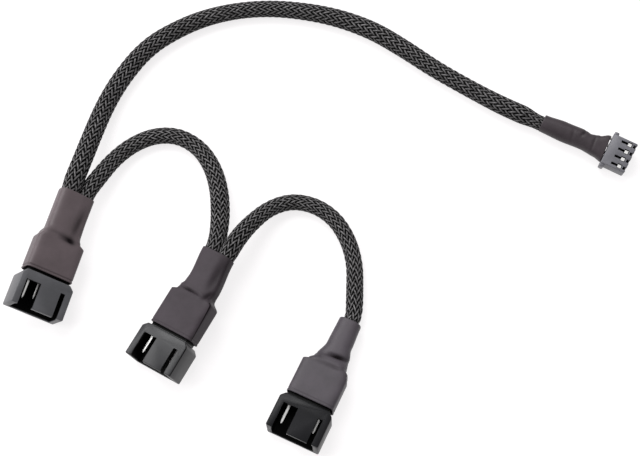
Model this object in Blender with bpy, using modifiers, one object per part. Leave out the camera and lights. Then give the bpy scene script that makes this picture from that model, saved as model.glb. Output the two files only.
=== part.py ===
"""Fan splitter cable at its real size: metres, +Z up, lying on a table at z = 0.

A small four way plug feeds three fan ports in a row. Each port is a shrouded housing with four square pins. A braided
main cable runs from the plug to port 1, and two short link cables carry on to port 2 and to port 3. A heat shrink boot
covers the wires at every end.

Every port and the plug are modelled in their own frame and then laid on the table by an empty: X runs across the
connector, Y runs from its mouth towards its cable, Z is its thickness.
"""

import math

import bmesh
import bpy
import numpy as np
from mathutils import Matrix, Vector

# Clearance between neighbouring pieces
FIT_GAP = 0.0003

# Port pins: a square pin with a tapered tip, on a box shaped terminal
PIN_PITCH = 0.00254
PIN_WIDTH = 0.00064
PIN_LIFT = 0.0009
PIN_TIP_DEPTH = 0.0021
PIN_TAPER = 0.0006
PIN_TIP_SHARE = 0.45
TERMINAL_WIDTH = 0.0014
TERMINAL_SETBACK = 0.0006
CRIMP_LENGTH = 0.0039

# Fan port housing: a shroud round the pins, and a narrower body behind it that holds the terminals
SHROUD_SIDE_WALL = 0.0013
SHROUD_SIDE_SPACE = 0.00144
SHROUD_WIDTH = 3 * PIN_PITCH + 2 * (SHROUD_SIDE_SPACE + SHROUD_SIDE_WALL)
SHROUD_THICKNESS = 0.0070
SHROUD_LENGTH = 0.0087
SHROUD_FLAT_WALL = 0.00095
SHROUD_FLOOR = 0.0012
SHROUD_CORNER_CUT = 0.0011
BODY_SIDE_WALL = 0.0004
BODY_WIDTH = 3 * PIN_PITCH + TERMINAL_WIDTH + 2 * (FIT_GAP + BODY_SIDE_WALL)
BODY_THICKNESS = 0.0046
BODY_LENGTH = 0.0096
EDGE_ROUND = 0.00028

# The two key openings in the top wall, both open at the mouth
WINDOW_MIDDLE = -0.00316
WINDOW_WIDTH = 0.00367
WINDOW_LENGTH = 0.00635
SLOT_MIDDLE = 0.00435
SLOT_WIDTH = 0.00115
SLOT_LENGTH = 0.0062

# Insulated wires inside the boots
WIRE_DIAMETER = 0.0007
WIRE_SIDE_GAP = 0.00015
WIRE_SPACING = WIRE_DIAMETER + WIRE_SIDE_GAP
WIRE_ROW = 3 * WIRE_SPACING + WIRE_DIAMETER
WIRE_LAYER_GAP = 0.0002
WIRE_LAYER = WIRE_DIAMETER + WIRE_LAYER_GAP
WIRE_CLEARANCE = 0.0001
PAIR_WIRE_GATHER = 0.0095
SINGLE_WIRE_GATHER = 0.0050
PLUG_WIRE_GATHER = 0.0036
WIRE_POINTS = 12

# Heat shrink boots of the fan ports
SHRINK_WALL = 0.0004
BOOT_LENGTH = 0.0218
BOOT_SETBACK = 0.0008
BOOT_OVERRUN = 0.0005
BOOT_CORNER = 0.0010
BOOT_SHOULDER_LENGTH = 0.0010
BOOT_SHOULDER_DROP = 0.0011
PAIR_TAPER_LENGTH = 0.0028
SINGLE_NECK_WIDTH = 0.0057
SINGLE_TAPER_LENGTH = 0.0056
NECK_THICKNESS = 0.0047

# Small plug for the board
PLUG_PITCH = 0.0020
PLUG_THICKNESS = 0.0045
PLUG_LENGTH = 0.0064
PLUG_EAR_REACH = 0.00072
PLUG_EAR_LENGTH = 0.0012
PLUG_EAR_THICKNESS = 0.0036
CONTACT_WIDTH = 0.0009
PLUG_SIDE_WALL = 0.0003
PLUG_WIDTH = 3 * PLUG_PITCH + CONTACT_WIDTH + 2 * (FIT_GAP + PLUG_SIDE_WALL)
CONTACT_HEIGHT = 0.0015
CONTACT_LIFT = 0.0004
CONTACT_MOUTH_DEPTH = 0.0010
CONTACT_TAIL = 0.0004
TANG_WIDTH = 0.0008
TANG_GAP = 0.00015
TANG_DROP = 0.00025
SOCKET_WIDTH = 0.0005
SOCKET_LENGTH = 0.0030
LATCH_SLOT_WIDTH = 0.0006
LATCH_SLOT_START = 0.0024
LATCH_SLOT_END = 0.0040
LATCH_WINDOW_WIDTH = 0.0012
LATCH_WINDOW_START = 0.0012
FRONT_NOTCH_WIDTH = 0.0008
FRONT_NOTCH_LENGTH = 0.0009
PLUG_BOOT_LENGTH = 0.0168
PLUG_BOOT_SETBACK = 0.0005
PLUG_BOOT_FRONT_WIDTH = 3 * PLUG_PITCH + WIRE_DIAMETER + 2 * (WIRE_CLEARANCE + SHRINK_WALL)
PLUG_BOOT_FRONT_THICKNESS = 0.0044
PLUG_BOOT_NECK_WIDTH = 0.0051
PLUG_BOOT_FLARE_LENGTH = 0.0065

# Braided cables
MAIN_CABLE_DIAMETER = 0.0047
LINK_CABLE_DIAMETER = 0.0040
CABLE_POINT_SPACING = 0.0075
SLEEVE_STRAIGHT = 0.0020

# Fineness of the rounded shapes, and what counts as flat, sharp or touching in a mesh
CORNER_STEPS = 4
TAPER_STEPS = 4
NECK_STEPS = 3
BEVEL_STEPS = 2
BARREL_SIDES = 12
ROUTE_SAMPLES = 12
SHARP_ANGLE = math.radians(30)
FLAT_ANGLE = math.radians(1)
WELD_DISTANCE = 1e-6

# The ports on the table, from the first to the last: mouth centre, heading, roll (left side up) and pitch (mouth up)
PORT_MOUTHS = ((-0.0703, -0.0108), (-0.0417, -0.0237), (-0.0090, -0.0401))
PORT_HEADINGS_DEG = (14.8, 29.8, 25.3)
PORT_ROLLS_DEG = (33.0, -13.5, -2.5)
PORT_PITCHES_DEG = (2.0, -3.0, 3.5)

# How far the end of each boot has wandered to one side, and how far each pin has floated back in its cavity
BOOT_DRIFTS = (0.0, -0.0009, 0.0003)
PIN_FLOATS = (
    (0.0, 0.0007, 0.0003, 0.0004),
    (0.0, 0.0003, 0.0, 0.0005),
    (0.0, 0.0004, 0.0006, 0.0009),
)

# The sleeves in each port's boot, side by side
SLEEVE_GAP = 0.0003
SLEEVE_DIAMETERS = (
    (MAIN_CABLE_DIAMETER, LINK_CABLE_DIAMETER),
    (LINK_CABLE_DIAMETER, LINK_CABLE_DIAMETER),
    (LINK_CABLE_DIAMETER,),
)

# The board plug on the table, and how its boot bows one way and then wanders the other
PLUG_MOUTH = (0.07522, 0.02994)
PLUG_HEADING_DEG = -61.85
PLUG_ROLL_DEG = -14.0
PLUG_BOOT_DRIFT = -0.00085

# Where the cables lie between their two ends, chosen point by point on the table
MAIN_ROUTE = (
    (-0.0621, 0.0269, 0.0062),
    (-0.0598, 0.0372, 0.0041),
    (-0.0580, 0.0440, 0.0030),
    (-0.0556, 0.0502, 0.0025),
    (-0.0524, 0.0560, 0.0024),
    (-0.0486, 0.0612, 0.0024),
    (-0.0437, 0.0656, 0.0024),
    (-0.0354, 0.0704, 0.0024),
    (-0.0263, 0.0733, 0.0024),
    (-0.0167, 0.0743, 0.0024),
    (-0.0072, 0.0735, 0.0024),
    (0.0022, 0.0713, 0.0024),
    (0.0112, 0.0675, 0.0024),
    (0.0193, 0.0622, 0.0024),
    (0.0271, 0.0564, 0.0024),
    (0.0350, 0.0512, 0.0024),
    (0.0429, 0.0463, 0.0025),
    (0.0488, 0.0430, 0.0028),
)
LINK_1_ROUTE = (
    (-0.0577, 0.0250, 0.0038),
    (-0.0543, 0.0305, 0.0026),
    (-0.0499, 0.0347, 0.0021),
    (-0.0444, 0.0371, 0.0021),
    (-0.0385, 0.0369, 0.0021),
    (-0.0332, 0.0336, 0.0021),
    (-0.0297, 0.0283, 0.0022),
    (-0.0278, 0.0220, 0.0028),
    (-0.0271, 0.0153, 0.0041),
    (-0.0272, 0.0100, 0.0053),
)
LINK_2_ROUTE = (
    (-0.0224, 0.0078, 0.0067),
    (-0.0193, 0.0124, 0.0051),
    (-0.0149, 0.0170, 0.0031),
    (-0.0094, 0.0191, 0.0022),
    (-0.0036, 0.0179, 0.0021),
    (0.0011, 0.0143, 0.0021),
    (0.0042, 0.0090, 0.0021),
    (0.0057, 0.0031, 0.0021),
    (0.0058, -0.0030, 0.0022),
)

# Colour, roughness and metallic value of each material
FINISHES = {
    "housing_plastic": ((0.052, 0.052, 0.056), 0.42, 0.0),
    "pin_metal": ((0.78, 0.77, 0.74), 0.22, 1.0),
    "shrink_tube": ((0.060, 0.052, 0.056), 0.62, 0.0),
    "braid": ((0.016, 0.016, 0.017), 0.70, 0.0),
    "wire_insulation": ((0.020, 0.020, 0.021), 0.45, 0.0),
}


def sleeve_places(diameters, middle):
    """Where the sleeves' middles lie across a boot: one in the middle, or two side by side about it."""
    if len(diameters) == 1:
        return [middle]
    half_step = (sum(diameters) / 2 + SLEEVE_GAP) / 2
    return [middle - half_step, middle + half_step]


PORTS = [
    {
        "name": f"fan_port_{index + 1}",
        "mouth": PORT_MOUTHS[index],
        "heading": PORT_HEADINGS_DEG[index],
        "roll": PORT_ROLLS_DEG[index],
        "pitch": PORT_PITCHES_DEG[index],
        "drift": BOOT_DRIFTS[index],
        "pin_float": PIN_FLOATS[index],
        "sleeves": sleeve_places(SLEEVE_DIAMETERS[index], BOOT_DRIFTS[index]),
    }
    for index in range(len(PORT_MOUTHS))
]
PLUG_PLACE = {
    "name": "board_plug",
    "mouth": PLUG_MOUTH,
    "heading": PLUG_HEADING_DEG,
    "roll": PLUG_ROLL_DEG,
    "pitch": 0.0,
}


def clear_scene():
    """Removes every object that the file opens with."""
    for obj in list(bpy.data.objects):
        bpy.data.objects.remove(obj, do_unlink=True)


def new_collection(name):
    """A collection linked to the scene."""
    collection = bpy.data.collections.new(name)
    bpy.context.scene.collection.children.link(collection)
    return collection


def make_material(name):
    """A Principled material with the colour, roughness and metallic value from FINISHES."""
    colour, roughness, metallic = FINISHES[name]
    material = bpy.data.materials.new(name)
    material.use_nodes = True
    shader = material.node_tree.nodes["Principled BSDF"]
    shader.inputs["Base Color"].default_value = (*colour, 1.0)
    shader.inputs["Roughness"].default_value = roughness
    shader.inputs["Metallic"].default_value = metallic
    material.diffuse_color = (*colour, 1.0)
    return material


def box(name, low, high, collection):
    """An axis aligned box between two corners."""
    low = Vector(low)
    high = Vector(high)
    bm = bmesh.new()
    bmesh.ops.create_cube(bm, size=1.0)
    bmesh.ops.scale(bm, vec=high - low, verts=bm.verts)
    bmesh.ops.translate(bm, vec=(low + high) / 2, verts=bm.verts)
    return object_from_bmesh(name, bm, collection)


def object_from_bmesh(name, bm, collection):
    """Puts a bmesh into a new object."""
    mesh = bpy.data.meshes.new(name)
    bm.to_mesh(mesh)
    bm.free()
    return object_from_mesh(name, mesh, collection)


def object_from_mesh(name, mesh, collection):
    """A new object that shows the mesh."""
    obj = bpy.data.objects.new(name, mesh)
    collection.objects.link(obj)
    return obj


def plate(name, outline, thickness, collection):
    """A flat outline given half its thickness each way, as a welded mesh."""
    curve = bpy.data.curves.new(name, "CURVE")
    curve.dimensions = "2D"
    curve.fill_mode = "BOTH"
    curve.extrude = thickness / 2
    spline = curve.splines.new("POLY")
    spline.points.add(len(outline) - 1)
    for point, (x, y) in zip(spline.points, outline):
        point.co = (x, y, 0.0, 1.0)
    spline.use_cyclic_u = True
    guide = bpy.data.objects.new(name, curve)
    collection.objects.link(guide)
    mesh = evaluated_mesh(guide)
    bpy.data.objects.remove(guide, do_unlink=True)
    bm = bmesh.new()
    bm.from_mesh(mesh)
    bpy.data.meshes.remove(mesh)
    bmesh.ops.remove_doubles(bm, verts=bm.verts, dist=WELD_DISTANCE)
    bmesh.ops.dissolve_limit(bm, angle_limit=FLAT_ANGLE, verts=bm.verts, edges=bm.edges)
    bmesh.ops.recalc_face_normals(bm, faces=bm.faces)
    return object_from_bmesh(name, bm, collection)


def evaluated_mesh(obj):
    """A copy of the object's mesh with its modifiers worked in."""
    depsgraph = bpy.context.evaluated_depsgraph_get()
    depsgraph.update()
    return bpy.data.meshes.new_from_object(obj.evaluated_get(depsgraph))


def finish_shape(obj, material):
    """Works the modifiers into a mesh that several objects can share, and removes the one it was built on."""
    mesh = evaluated_mesh(obj)
    mesh.name = obj.name
    mesh.materials.clear()
    mesh.materials.append(material)
    bpy.data.objects.remove(obj, do_unlink=True)
    return mesh


def round_edges(obj, width):
    """Rounds every sharp edge of the shape as it stands."""
    bevel = obj.modifiers.new("rounded edges", "BEVEL")
    bevel.width = width
    bevel.segments = BEVEL_STEPS
    bevel.limit_method = "ANGLE"
    bevel.angle_limit = SHARP_ANGLE


def combine(obj, other, operation):
    """Joins another solid on, or cuts it away."""
    boolean = obj.modifiers.new(other.name, "BOOLEAN")
    boolean.operation = operation
    boolean.solver = "EXACT"
    boolean.object = other
    other.display_type = "WIRE"
    other.hide_render = True


def pin_places(pitch):
    """The four terminal places across a connector, left to right."""
    return [(index - 1.5) * pitch for index in range(4)]


def fan_housing_shape(cutters, material):
    """Shroud and terminal body as one moulding, open at the mouth and bored for four terminals."""
    half = SHROUD_WIDTH / 2
    cut = SHROUD_CORNER_CUT
    outline = (
        (-half, 0.0),
        (half, 0.0),
        (half, SHROUD_LENGTH - cut),
        (half - cut, SHROUD_LENGTH),
        (cut - half, SHROUD_LENGTH),
        (-half, SHROUD_LENGTH - cut),
    )
    housing = plate("fan_housing_shape", outline, SHROUD_THICKNESS, cutters)
    round_edges(housing, EDGE_ROUND)

    body_half = BODY_WIDTH / 2
    body_end = SHROUD_LENGTH + BODY_LENGTH
    root = SHROUD_LENGTH - SHROUD_FLOOR / 2
    body = box(
        "body_solid",
        (-body_half, root, -BODY_THICKNESS / 2),
        (body_half, body_end, BODY_THICKNESS / 2),
        cutters,
    )
    round_edges(body, EDGE_ROUND)
    combine(housing, body, "UNION")

    inside = half - SHROUD_SIDE_WALL
    roof = SHROUD_THICKNESS / 2 - SHROUD_FLAT_WALL
    floor = SHROUD_LENGTH - SHROUD_FLOOR
    beyond = SHROUD_THICKNESS
    cavity = box("shroud_cavity", (-inside, -beyond, -roof), (inside, floor, roof), cutters)
    combine(housing, cavity, "DIFFERENCE")
    for name, middle, width, length in (
        ("key_window", WINDOW_MIDDLE, WINDOW_WIDTH, WINDOW_LENGTH),
        ("key_slot", SLOT_MIDDLE, SLOT_WIDTH, SLOT_LENGTH),
    ):
        opening = box(name, (middle - width / 2, -beyond, 0.0), (middle + width / 2, length, beyond), cutters)
        combine(housing, opening, "DIFFERENCE")

    bore = TERMINAL_WIDTH / 2 + FIT_GAP
    hole = PIN_WIDTH / 2 + FIT_GAP
    for index, x in enumerate(pin_places(PIN_PITCH), start=1):
        terminal_bore = box(
            f"terminal_bore_{index}",
            (x - bore, SHROUD_LENGTH, PIN_LIFT - bore),
            (x + bore, body_end + beyond, PIN_LIFT + bore),
            cutters,
        )
        combine(housing, terminal_bore, "DIFFERENCE")
        pin_hole = box(
            f"pin_hole_{index}",
            (x - hole, floor - FIT_GAP, PIN_LIFT - hole),
            (x + hole, SHROUD_LENGTH + FIT_GAP, PIN_LIFT + hole),
            cutters,
        )
        combine(housing, pin_hole, "DIFFERENCE")
    return finish_shape(housing, material)


def fan_pin_shape(cutters, material):
    """One port terminal: square pin with a tapered tip, box and wire barrel. Its origin is on the mouth plane."""
    half = PIN_WIDTH / 2
    terminal_start = SHROUD_LENGTH + FIT_GAP
    terminal_end = SHROUD_LENGTH + BODY_LENGTH - TERMINAL_SETBACK
    bm = bmesh.new()
    bmesh.ops.create_cube(bm, size=1.0)
    for vert in bm.verts:
        at_tip = vert.co.y < 0
        share = PIN_TIP_SHARE if at_tip else 1.0
        y = PIN_TIP_DEPTH if at_tip else PIN_TIP_DEPTH + PIN_TAPER
        vert.co = (vert.co.x * PIN_WIDTH * share, y, vert.co.z * PIN_WIDTH * share)
    back_face = max(bm.faces, key=lambda face: face.calc_center_median().y)
    shaft = bmesh.ops.extrude_face_region(bm, geom=[back_face])
    bmesh.ops.delete(bm, geom=[back_face], context="FACES_ONLY")
    for vert in (item for item in shaft["geom"] if isinstance(item, bmesh.types.BMVert)):
        vert.co.y = terminal_start + half
    bmesh.ops.recalc_face_normals(bm, faces=bm.faces)
    pin = object_from_bmesh("fan_pin_shape", bm, cutters)

    wide = TERMINAL_WIDTH / 2
    crimp_start = terminal_end - CRIMP_LENGTH
    terminal = box("terminal_box", (-wide, terminal_start, -wide), (wide, crimp_start, wide), cutters)
    combine(pin, terminal, "UNION")
    barrel = crimp_barrel("terminal_barrel", wide, crimp_start - half, terminal_end, cutters)
    combine(pin, barrel, "UNION")
    mesh = finish_shape(pin, material)
    mesh.transform(Matrix.Translation((0.0, 0.0, PIN_LIFT)))
    return mesh


def crimp_barrel(name, radius, start, end, collection):
    """A round wire barrel along Y."""
    bm = bmesh.new()
    bmesh.ops.create_cone(
        bm,
        cap_ends=True,
        segments=BARREL_SIDES,
        radius1=radius,
        radius2=radius,
        depth=end - start,
        matrix=Matrix.Translation((0.0, (start + end) / 2, 0.0)) @ Matrix.Rotation(math.pi / 2, 4, "X"),
    )
    return object_from_bmesh(name, bm, collection)


def smooth_step(value):
    """Eases from 0 to 1 with a level start and end."""
    value = min(max(value, 0.0), 1.0)
    return value * value * (3.0 - 2.0 * value)


def rounded_ring(x, y, half_width, half_thickness, corner):
    """A rounded rectangle in the plane at y, walked corner by corner."""
    corner = min(corner, half_width, half_thickness)
    ring = []
    for quarter, (side, level) in enumerate(((1, 1), (-1, 1), (-1, -1), (1, -1))):
        for step in range(CORNER_STEPS + 1):
            angle = math.pi / 2 * (quarter + step / CORNER_STEPS)
            ring.append((
                x + side * (half_width - corner) + corner * math.cos(angle),
                y,
                level * (half_thickness - corner) + corner * math.sin(angle),
            ))
    return ring


def shrink_tube(name, rings, collection, material):
    """An open skin lofted through the rings, given the wall of the shrink tube inwards."""
    bm = bmesh.new()
    loops = [[bm.verts.new(point) for point in ring] for ring in rings]
    count = len(rings[0])
    for near, far in zip(loops, loops[1:]):
        for index in range(count):
            after = (index + 1) % count
            bm.faces.new((near[index], far[index], far[after], near[after]))
    bmesh.ops.remove_doubles(bm, verts=bm.verts, dist=WELD_DISTANCE)
    boot = object_from_bmesh(name, bm, collection)
    boot.data.materials.append(material)
    wall = boot.modifiers.new("wall", "SOLIDIFY")
    wall.thickness = SHRINK_WALL
    wall.offset = -1.0
    wall.use_even_offset = True
    boot.data.shade_smooth()
    return boot


def boot_start():
    """Where the boots of the fan ports begin, behind the shroud's shoulder."""
    return SHROUD_LENGTH + BOOT_SETBACK


def boot_end():
    """Where the boots of the fan ports end, round the sleeves."""
    return boot_start() + BOOT_LENGTH


def boot_taper_start():
    """Where the boots of the fan ports begin to narrow, behind the body and its shoulder."""
    return SHROUD_LENGTH + BODY_LENGTH + BOOT_OVERRUN + BOOT_SHOULDER_LENGTH


def boot_drift(port, y):
    """How far the boot's middle has wandered to one side at y."""
    start = boot_taper_start()
    return port["drift"] * smooth_step((y - start) / (boot_end() - start))


def neck_half_width(port):
    """Half the outer width of a port boot's neck."""
    sleeves = port["sleeves"]
    return pair_neck_half(sleeves) if len(sleeves) == 2 else SINGLE_NECK_WIDTH / 2


def taper_length(port):
    """How long a port boot takes to narrow from its shoulder to its neck."""
    return PAIR_TAPER_LENGTH if len(port["sleeves"]) == 2 else SINGLE_TAPER_LENGTH


def pair_neck_half(sleeves):
    """Half the width of a neck that holds the wire rows of two sleeves side by side."""
    return (sleeves[1] - sleeves[0] + WIRE_ROW) / 2 + FIT_GAP + SHRINK_WALL


def fan_boot_rings(port):
    """Flat and wide over the body, a shoulder behind it, then a taper to the neck round one sleeve or two."""
    wide_half = BODY_WIDTH / 2 + FIT_GAP + SHRINK_WALL
    thick_half = BODY_THICKNESS / 2 + FIT_GAP + SHRINK_WALL
    neck_half = neck_half_width(port)
    taper = taper_length(port)
    shoulder_end = boot_taper_start()
    wide_end = shoulder_end - BOOT_SHOULDER_LENGTH
    shoulder_half = wide_half - BOOT_SHOULDER_DROP
    rings = [
        rounded_ring(0.0, boot_start(), wide_half, thick_half, BOOT_CORNER),
        rounded_ring(0.0, wide_end, wide_half, thick_half, BOOT_CORNER),
    ]
    for step in range(TAPER_STEPS + 1):
        share = step / TAPER_STEPS
        blend = smooth_step(share)
        y = shoulder_end + taper * share
        half_width = shoulder_half + (neck_half - shoulder_half) * blend
        half_thickness = thick_half + (NECK_THICKNESS / 2 - thick_half) * blend
        corner = BOOT_CORNER + (half_thickness - BOOT_CORNER) * blend
        rings.append(rounded_ring(boot_drift(port, y), y, half_width, half_thickness, corner))
    neck_start = shoulder_end + taper
    for step in range(1, NECK_STEPS + 1):
        y = neck_start + (boot_end() - neck_start) * step / NECK_STEPS
        rings.append(rounded_ring(boot_drift(port, y), y, neck_half, NECK_THICKNESS / 2, NECK_THICKNESS / 2))
    return rings


def plug_housing_shape(cutters, material):
    """The small plug: a block with ears at its rear, four contact bores, and latch openings along the top."""
    half = PLUG_WIDTH / 2
    top = PLUG_THICKNESS / 2
    beyond = PLUG_THICKNESS
    housing = box("plug_housing_shape", (-half, 0.0, -top), (half, PLUG_LENGTH, top), cutters)
    round_edges(housing, EDGE_ROUND)
    ear_half = half + PLUG_EAR_REACH
    ear_start = PLUG_LENGTH - PLUG_EAR_LENGTH
    ear_top = PLUG_EAR_THICKNESS / 2
    ears = box("plug_ears", (-ear_half, ear_start, -ear_top), (ear_half, PLUG_LENGTH, ear_top), cutters)
    round_edges(ears, EDGE_ROUND)
    combine(housing, ears, "UNION")

    bore = CONTACT_WIDTH / 2 + FIT_GAP
    low = CONTACT_LIFT - CONTACT_HEIGHT / 2 - FIT_GAP
    high = CONTACT_LIFT + CONTACT_HEIGHT / 2 + FIT_GAP
    for index, x in enumerate(pin_places(PLUG_PITCH), start=1):
        cuts = (
            (f"contact_bore_{index}", bore, -beyond, PLUG_LENGTH + beyond, low, high),
            (f"latch_slot_{index}", LATCH_SLOT_WIDTH / 2, LATCH_SLOT_START, LATCH_SLOT_END, 0.0, beyond),
            (f"latch_window_{index}", LATCH_WINDOW_WIDTH / 2, LATCH_WINDOW_START, LATCH_SLOT_START, 0.0, beyond),
            (f"front_notch_{index}", FRONT_NOTCH_WIDTH / 2, -beyond, FRONT_NOTCH_LENGTH, 0.0, beyond),
        )
        for name, reach, near, far, bottom, roof in cuts:
            cutter = box(name, (x - reach, near, bottom), (x + reach, far, roof), cutters)
            combine(housing, cutter, "DIFFERENCE")
    return finish_shape(housing, material)


def plug_contact_shape(cutters, material):
    """One socket contact: a box with a square socket, a tang that stands up in the latch window, and a wire barrel."""
    half = CONTACT_WIDTH / 2
    tall = CONTACT_HEIGHT / 2
    tail_end = PLUG_LENGTH + CONTACT_TAIL
    box_end = LATCH_SLOT_END + FIT_GAP
    contact = box(
        "plug_contact_shape",
        (-half, CONTACT_MOUTH_DEPTH, CONTACT_LIFT - tall),
        (half, box_end, CONTACT_LIFT + tall),
        cutters,
    )
    barrel = crimp_barrel("contact_barrel", half, box_end - FIT_GAP, tail_end, cutters)
    barrel.data.transform(Matrix.Translation((0.0, 0.0, CONTACT_LIFT)))
    combine(contact, barrel, "UNION")
    tang = box(
        "contact_tang",
        (-TANG_WIDTH / 2, LATCH_WINDOW_START + TANG_GAP, CONTACT_LIFT + tall / 2),
        (TANG_WIDTH / 2, LATCH_SLOT_START - TANG_GAP, PLUG_THICKNESS / 2 - TANG_DROP),
        cutters,
    )
    combine(contact, tang, "UNION")
    reach = SOCKET_WIDTH / 2
    socket = box(
        "contact_socket",
        (-reach, -PLUG_LENGTH, CONTACT_LIFT - reach),
        (reach, CONTACT_MOUTH_DEPTH + SOCKET_LENGTH, CONTACT_LIFT + reach),
        cutters,
    )
    combine(contact, socket, "DIFFERENCE")
    return finish_shape(contact, material)


def plug_boot_start():
    """Where the plug's boot begins, behind the plug."""
    return PLUG_LENGTH + PLUG_BOOT_SETBACK


def plug_boot_end():
    """Where the plug's boot ends, round the main cable."""
    return plug_boot_start() + PLUG_BOOT_LENGTH


def plug_boot_drift(y):
    """The plug's boot drifts a little to one side, to the cable that leaves it."""
    share = min(max((y - plug_boot_start()) / PLUG_BOOT_LENGTH, 0.0), 1.0)
    return PLUG_BOOT_DRIFT * smooth_step(share)


def plug_boot_rings():
    """Flared and flat over the wire row, then a straight neck round the main cable."""
    rings = []
    flare_end = plug_boot_start() + PLUG_BOOT_FLARE_LENGTH
    flare_places = [plug_boot_start() + PLUG_BOOT_FLARE_LENGTH * step / TAPER_STEPS for step in range(TAPER_STEPS)]
    neck_places = [flare_end + (plug_boot_end() - flare_end) * step / NECK_STEPS for step in range(NECK_STEPS + 1)]
    for y in flare_places + neck_places:
        blend = smooth_step((y - plug_boot_start()) / PLUG_BOOT_FLARE_LENGTH)
        width = PLUG_BOOT_FRONT_WIDTH + (PLUG_BOOT_NECK_WIDTH - PLUG_BOOT_FRONT_WIDTH) * blend
        thickness = PLUG_BOOT_FRONT_THICKNESS + (NECK_THICKNESS - PLUG_BOOT_FRONT_THICKNESS) * blend
        rings.append(rounded_ring(plug_boot_drift(y), y, width / 2, thickness / 2, thickness / 2))
    return rings


def tube(name, points, diameter, resolution, collection, material):
    """A round tube along the points, with filled caps."""
    curve = bpy.data.curves.new(name, "CURVE")
    curve.dimensions = "3D"
    curve.bevel_depth = diameter / 2
    curve.bevel_resolution = resolution
    curve.use_fill_caps = True
    spline = curve.splines.new("POLY")
    spline.points.add(len(points) - 1)
    for point, place in zip(spline.points, points):
        point.co = (*place, 1.0)
    curve.materials.append(material)
    obj = bpy.data.objects.new(name, curve)
    collection.objects.link(obj)
    return obj


def wire(name, start, end, course, gather, collection, material):
    """One insulated wire from its terminal to the sleeve, gathering sideways over the first stretch.

    start and end are in the connector's frame, and course gives the boot's drift at any y and how far the boot has
    pressed the row of wires together there, as a share of its width at the terminals.
    """
    points = []
    for step in range(WIRE_POINTS):
        y = start[1] + (end[1] - start[1]) * step / (WIRE_POINTS - 1)
        blend = smooth_step((y - start[1]) / gather)
        drift, press = course(y)
        x = start[0] * press * (1 - blend) + (end[0] + drift) * blend
        z = start[2] + (end[2] - start[2]) * blend
        points.append((x, y, z))
    return tube(name, points, WIRE_DIAMETER, 1, collection, material)


def smooth_route(points, spacing):
    """Points at even steps along a Catmull-Rom curve through the given points."""
    given = np.array([tuple(point) for point in points])
    first = 2 * given[0] - given[1]
    last = 2 * given[-1] - given[-2]
    padded = np.vstack([first, given, last])
    share = np.linspace(0.0, 1.0, ROUTE_SAMPLES, endpoint=False)[:, None]
    spans = []
    for p0, p1, p2, p3 in zip(padded, padded[1:], padded[2:], padded[3:]):
        linear = (p2 - p0) / 2
        square = p0 - 2.5 * p1 + 2 * p2 - p3 / 2
        cube = 1.5 * (p1 - p2) + (p3 - p0) / 2
        spans.append(p1 + linear * share + square * share**2 + cube * share**3)
    fine = np.vstack([*spans, given[-1:]])
    lengths = np.concatenate([[0.0], np.cumsum(np.linalg.norm(np.diff(fine, axis=0), axis=1))])
    count = max(2, round(lengths[-1] / spacing) + 1)
    even = np.linspace(0.0, lengths[-1], count)
    return [tuple(float(np.interp(place, lengths, fine[:, axis])) for axis in range(3)) for place in even]


def lay_on_table(place, meshes):
    """An empty that turns a connector as it lies, and lifts it until its lowest point touches the table."""
    empty = bpy.data.objects.new(place["name"], None)
    empty.empty_display_size = SHROUD_LENGTH
    empty.rotation_mode = "YXZ"
    empty.rotation_euler = (
        -math.radians(place["pitch"]),
        math.radians(place["roll"]),
        -math.radians(place["heading"]),
    )
    turn = empty.rotation_euler.to_matrix()
    lowest = min((turn @ vert.co).z for mesh in meshes for vert in mesh.vertices)
    empty.location = (*place["mouth"], -lowest)
    return empty


def fix_to(empty, obj):
    """Carries a piece on its connector's empty."""
    obj.parent = empty


def build_fan_port(port, shapes, parts, materials):
    """Housing, four pins, wires and boot of one fan port, laid on the table."""
    name = port["name"]
    boot = shrink_tube(f"{name}_boot", fan_boot_rings(port), parts, materials["shrink_tube"])
    empty = lay_on_table(port, [shapes["fan_housing"], boot.data])
    parts.objects.link(empty)
    fix_to(empty, boot)
    housing = object_from_mesh(f"{name}_housing", shapes["fan_housing"], parts)
    fix_to(empty, housing)
    for index, (x, back) in enumerate(zip(pin_places(PIN_PITCH), port["pin_float"]), start=1):
        pin = object_from_mesh(f"{name}_pin_{index}", shapes["fan_pin"], parts)
        pin.location = (x, back, 0.0)
        fix_to(empty, pin)
    build_fan_wires(port, empty, parts, materials["wire_insulation"])
    return empty


def build_fan_wires(port, empty, parts, material):
    """Four wires to each sleeve: the incoming ones lie above the outgoing ones where there are two sleeves."""
    pair = len(port["sleeves"]) == 2
    layers = (WIRE_LAYER / 2, -WIRE_LAYER / 2) if pair else (0.0,)
    gather = PAIR_WIRE_GATHER if pair else SINGLE_WIRE_GATHER
    labels = ("in", "out")
    row_start = SHROUD_LENGTH + BODY_LENGTH - TERMINAL_SETBACK + FIT_GAP
    neck_start = boot_taper_start() + taper_length(port)
    room = neck_half_width(port) - SHRINK_WALL - FIT_GAP - WIRE_DIAMETER / 2
    neck_press = room / (1.5 * PIN_PITCH) if pair else 1.0

    def course(y):
        along = smooth_step((y - row_start) / (neck_start - row_start))
        return boot_drift(port, y), 1.0 + (neck_press - 1.0) * along

    end_y = boot_end() - FIT_GAP
    for label, layer, sleeve in zip(labels, layers, port["sleeves"]):
        for index, x in enumerate(pin_places(PIN_PITCH), start=1):
            back = port["pin_float"][index - 1]
            place = pin_places(WIRE_SPACING)[index - 1]
            piece = wire(
                f"{port['name']}_wire_{label}_{index}",
                (x, row_start + back, PIN_LIFT + layer),
                (sleeve - port["drift"] + place, end_y, layer),
                course,
                gather,
                parts,
                material,
            )
            fix_to(empty, piece)


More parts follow.
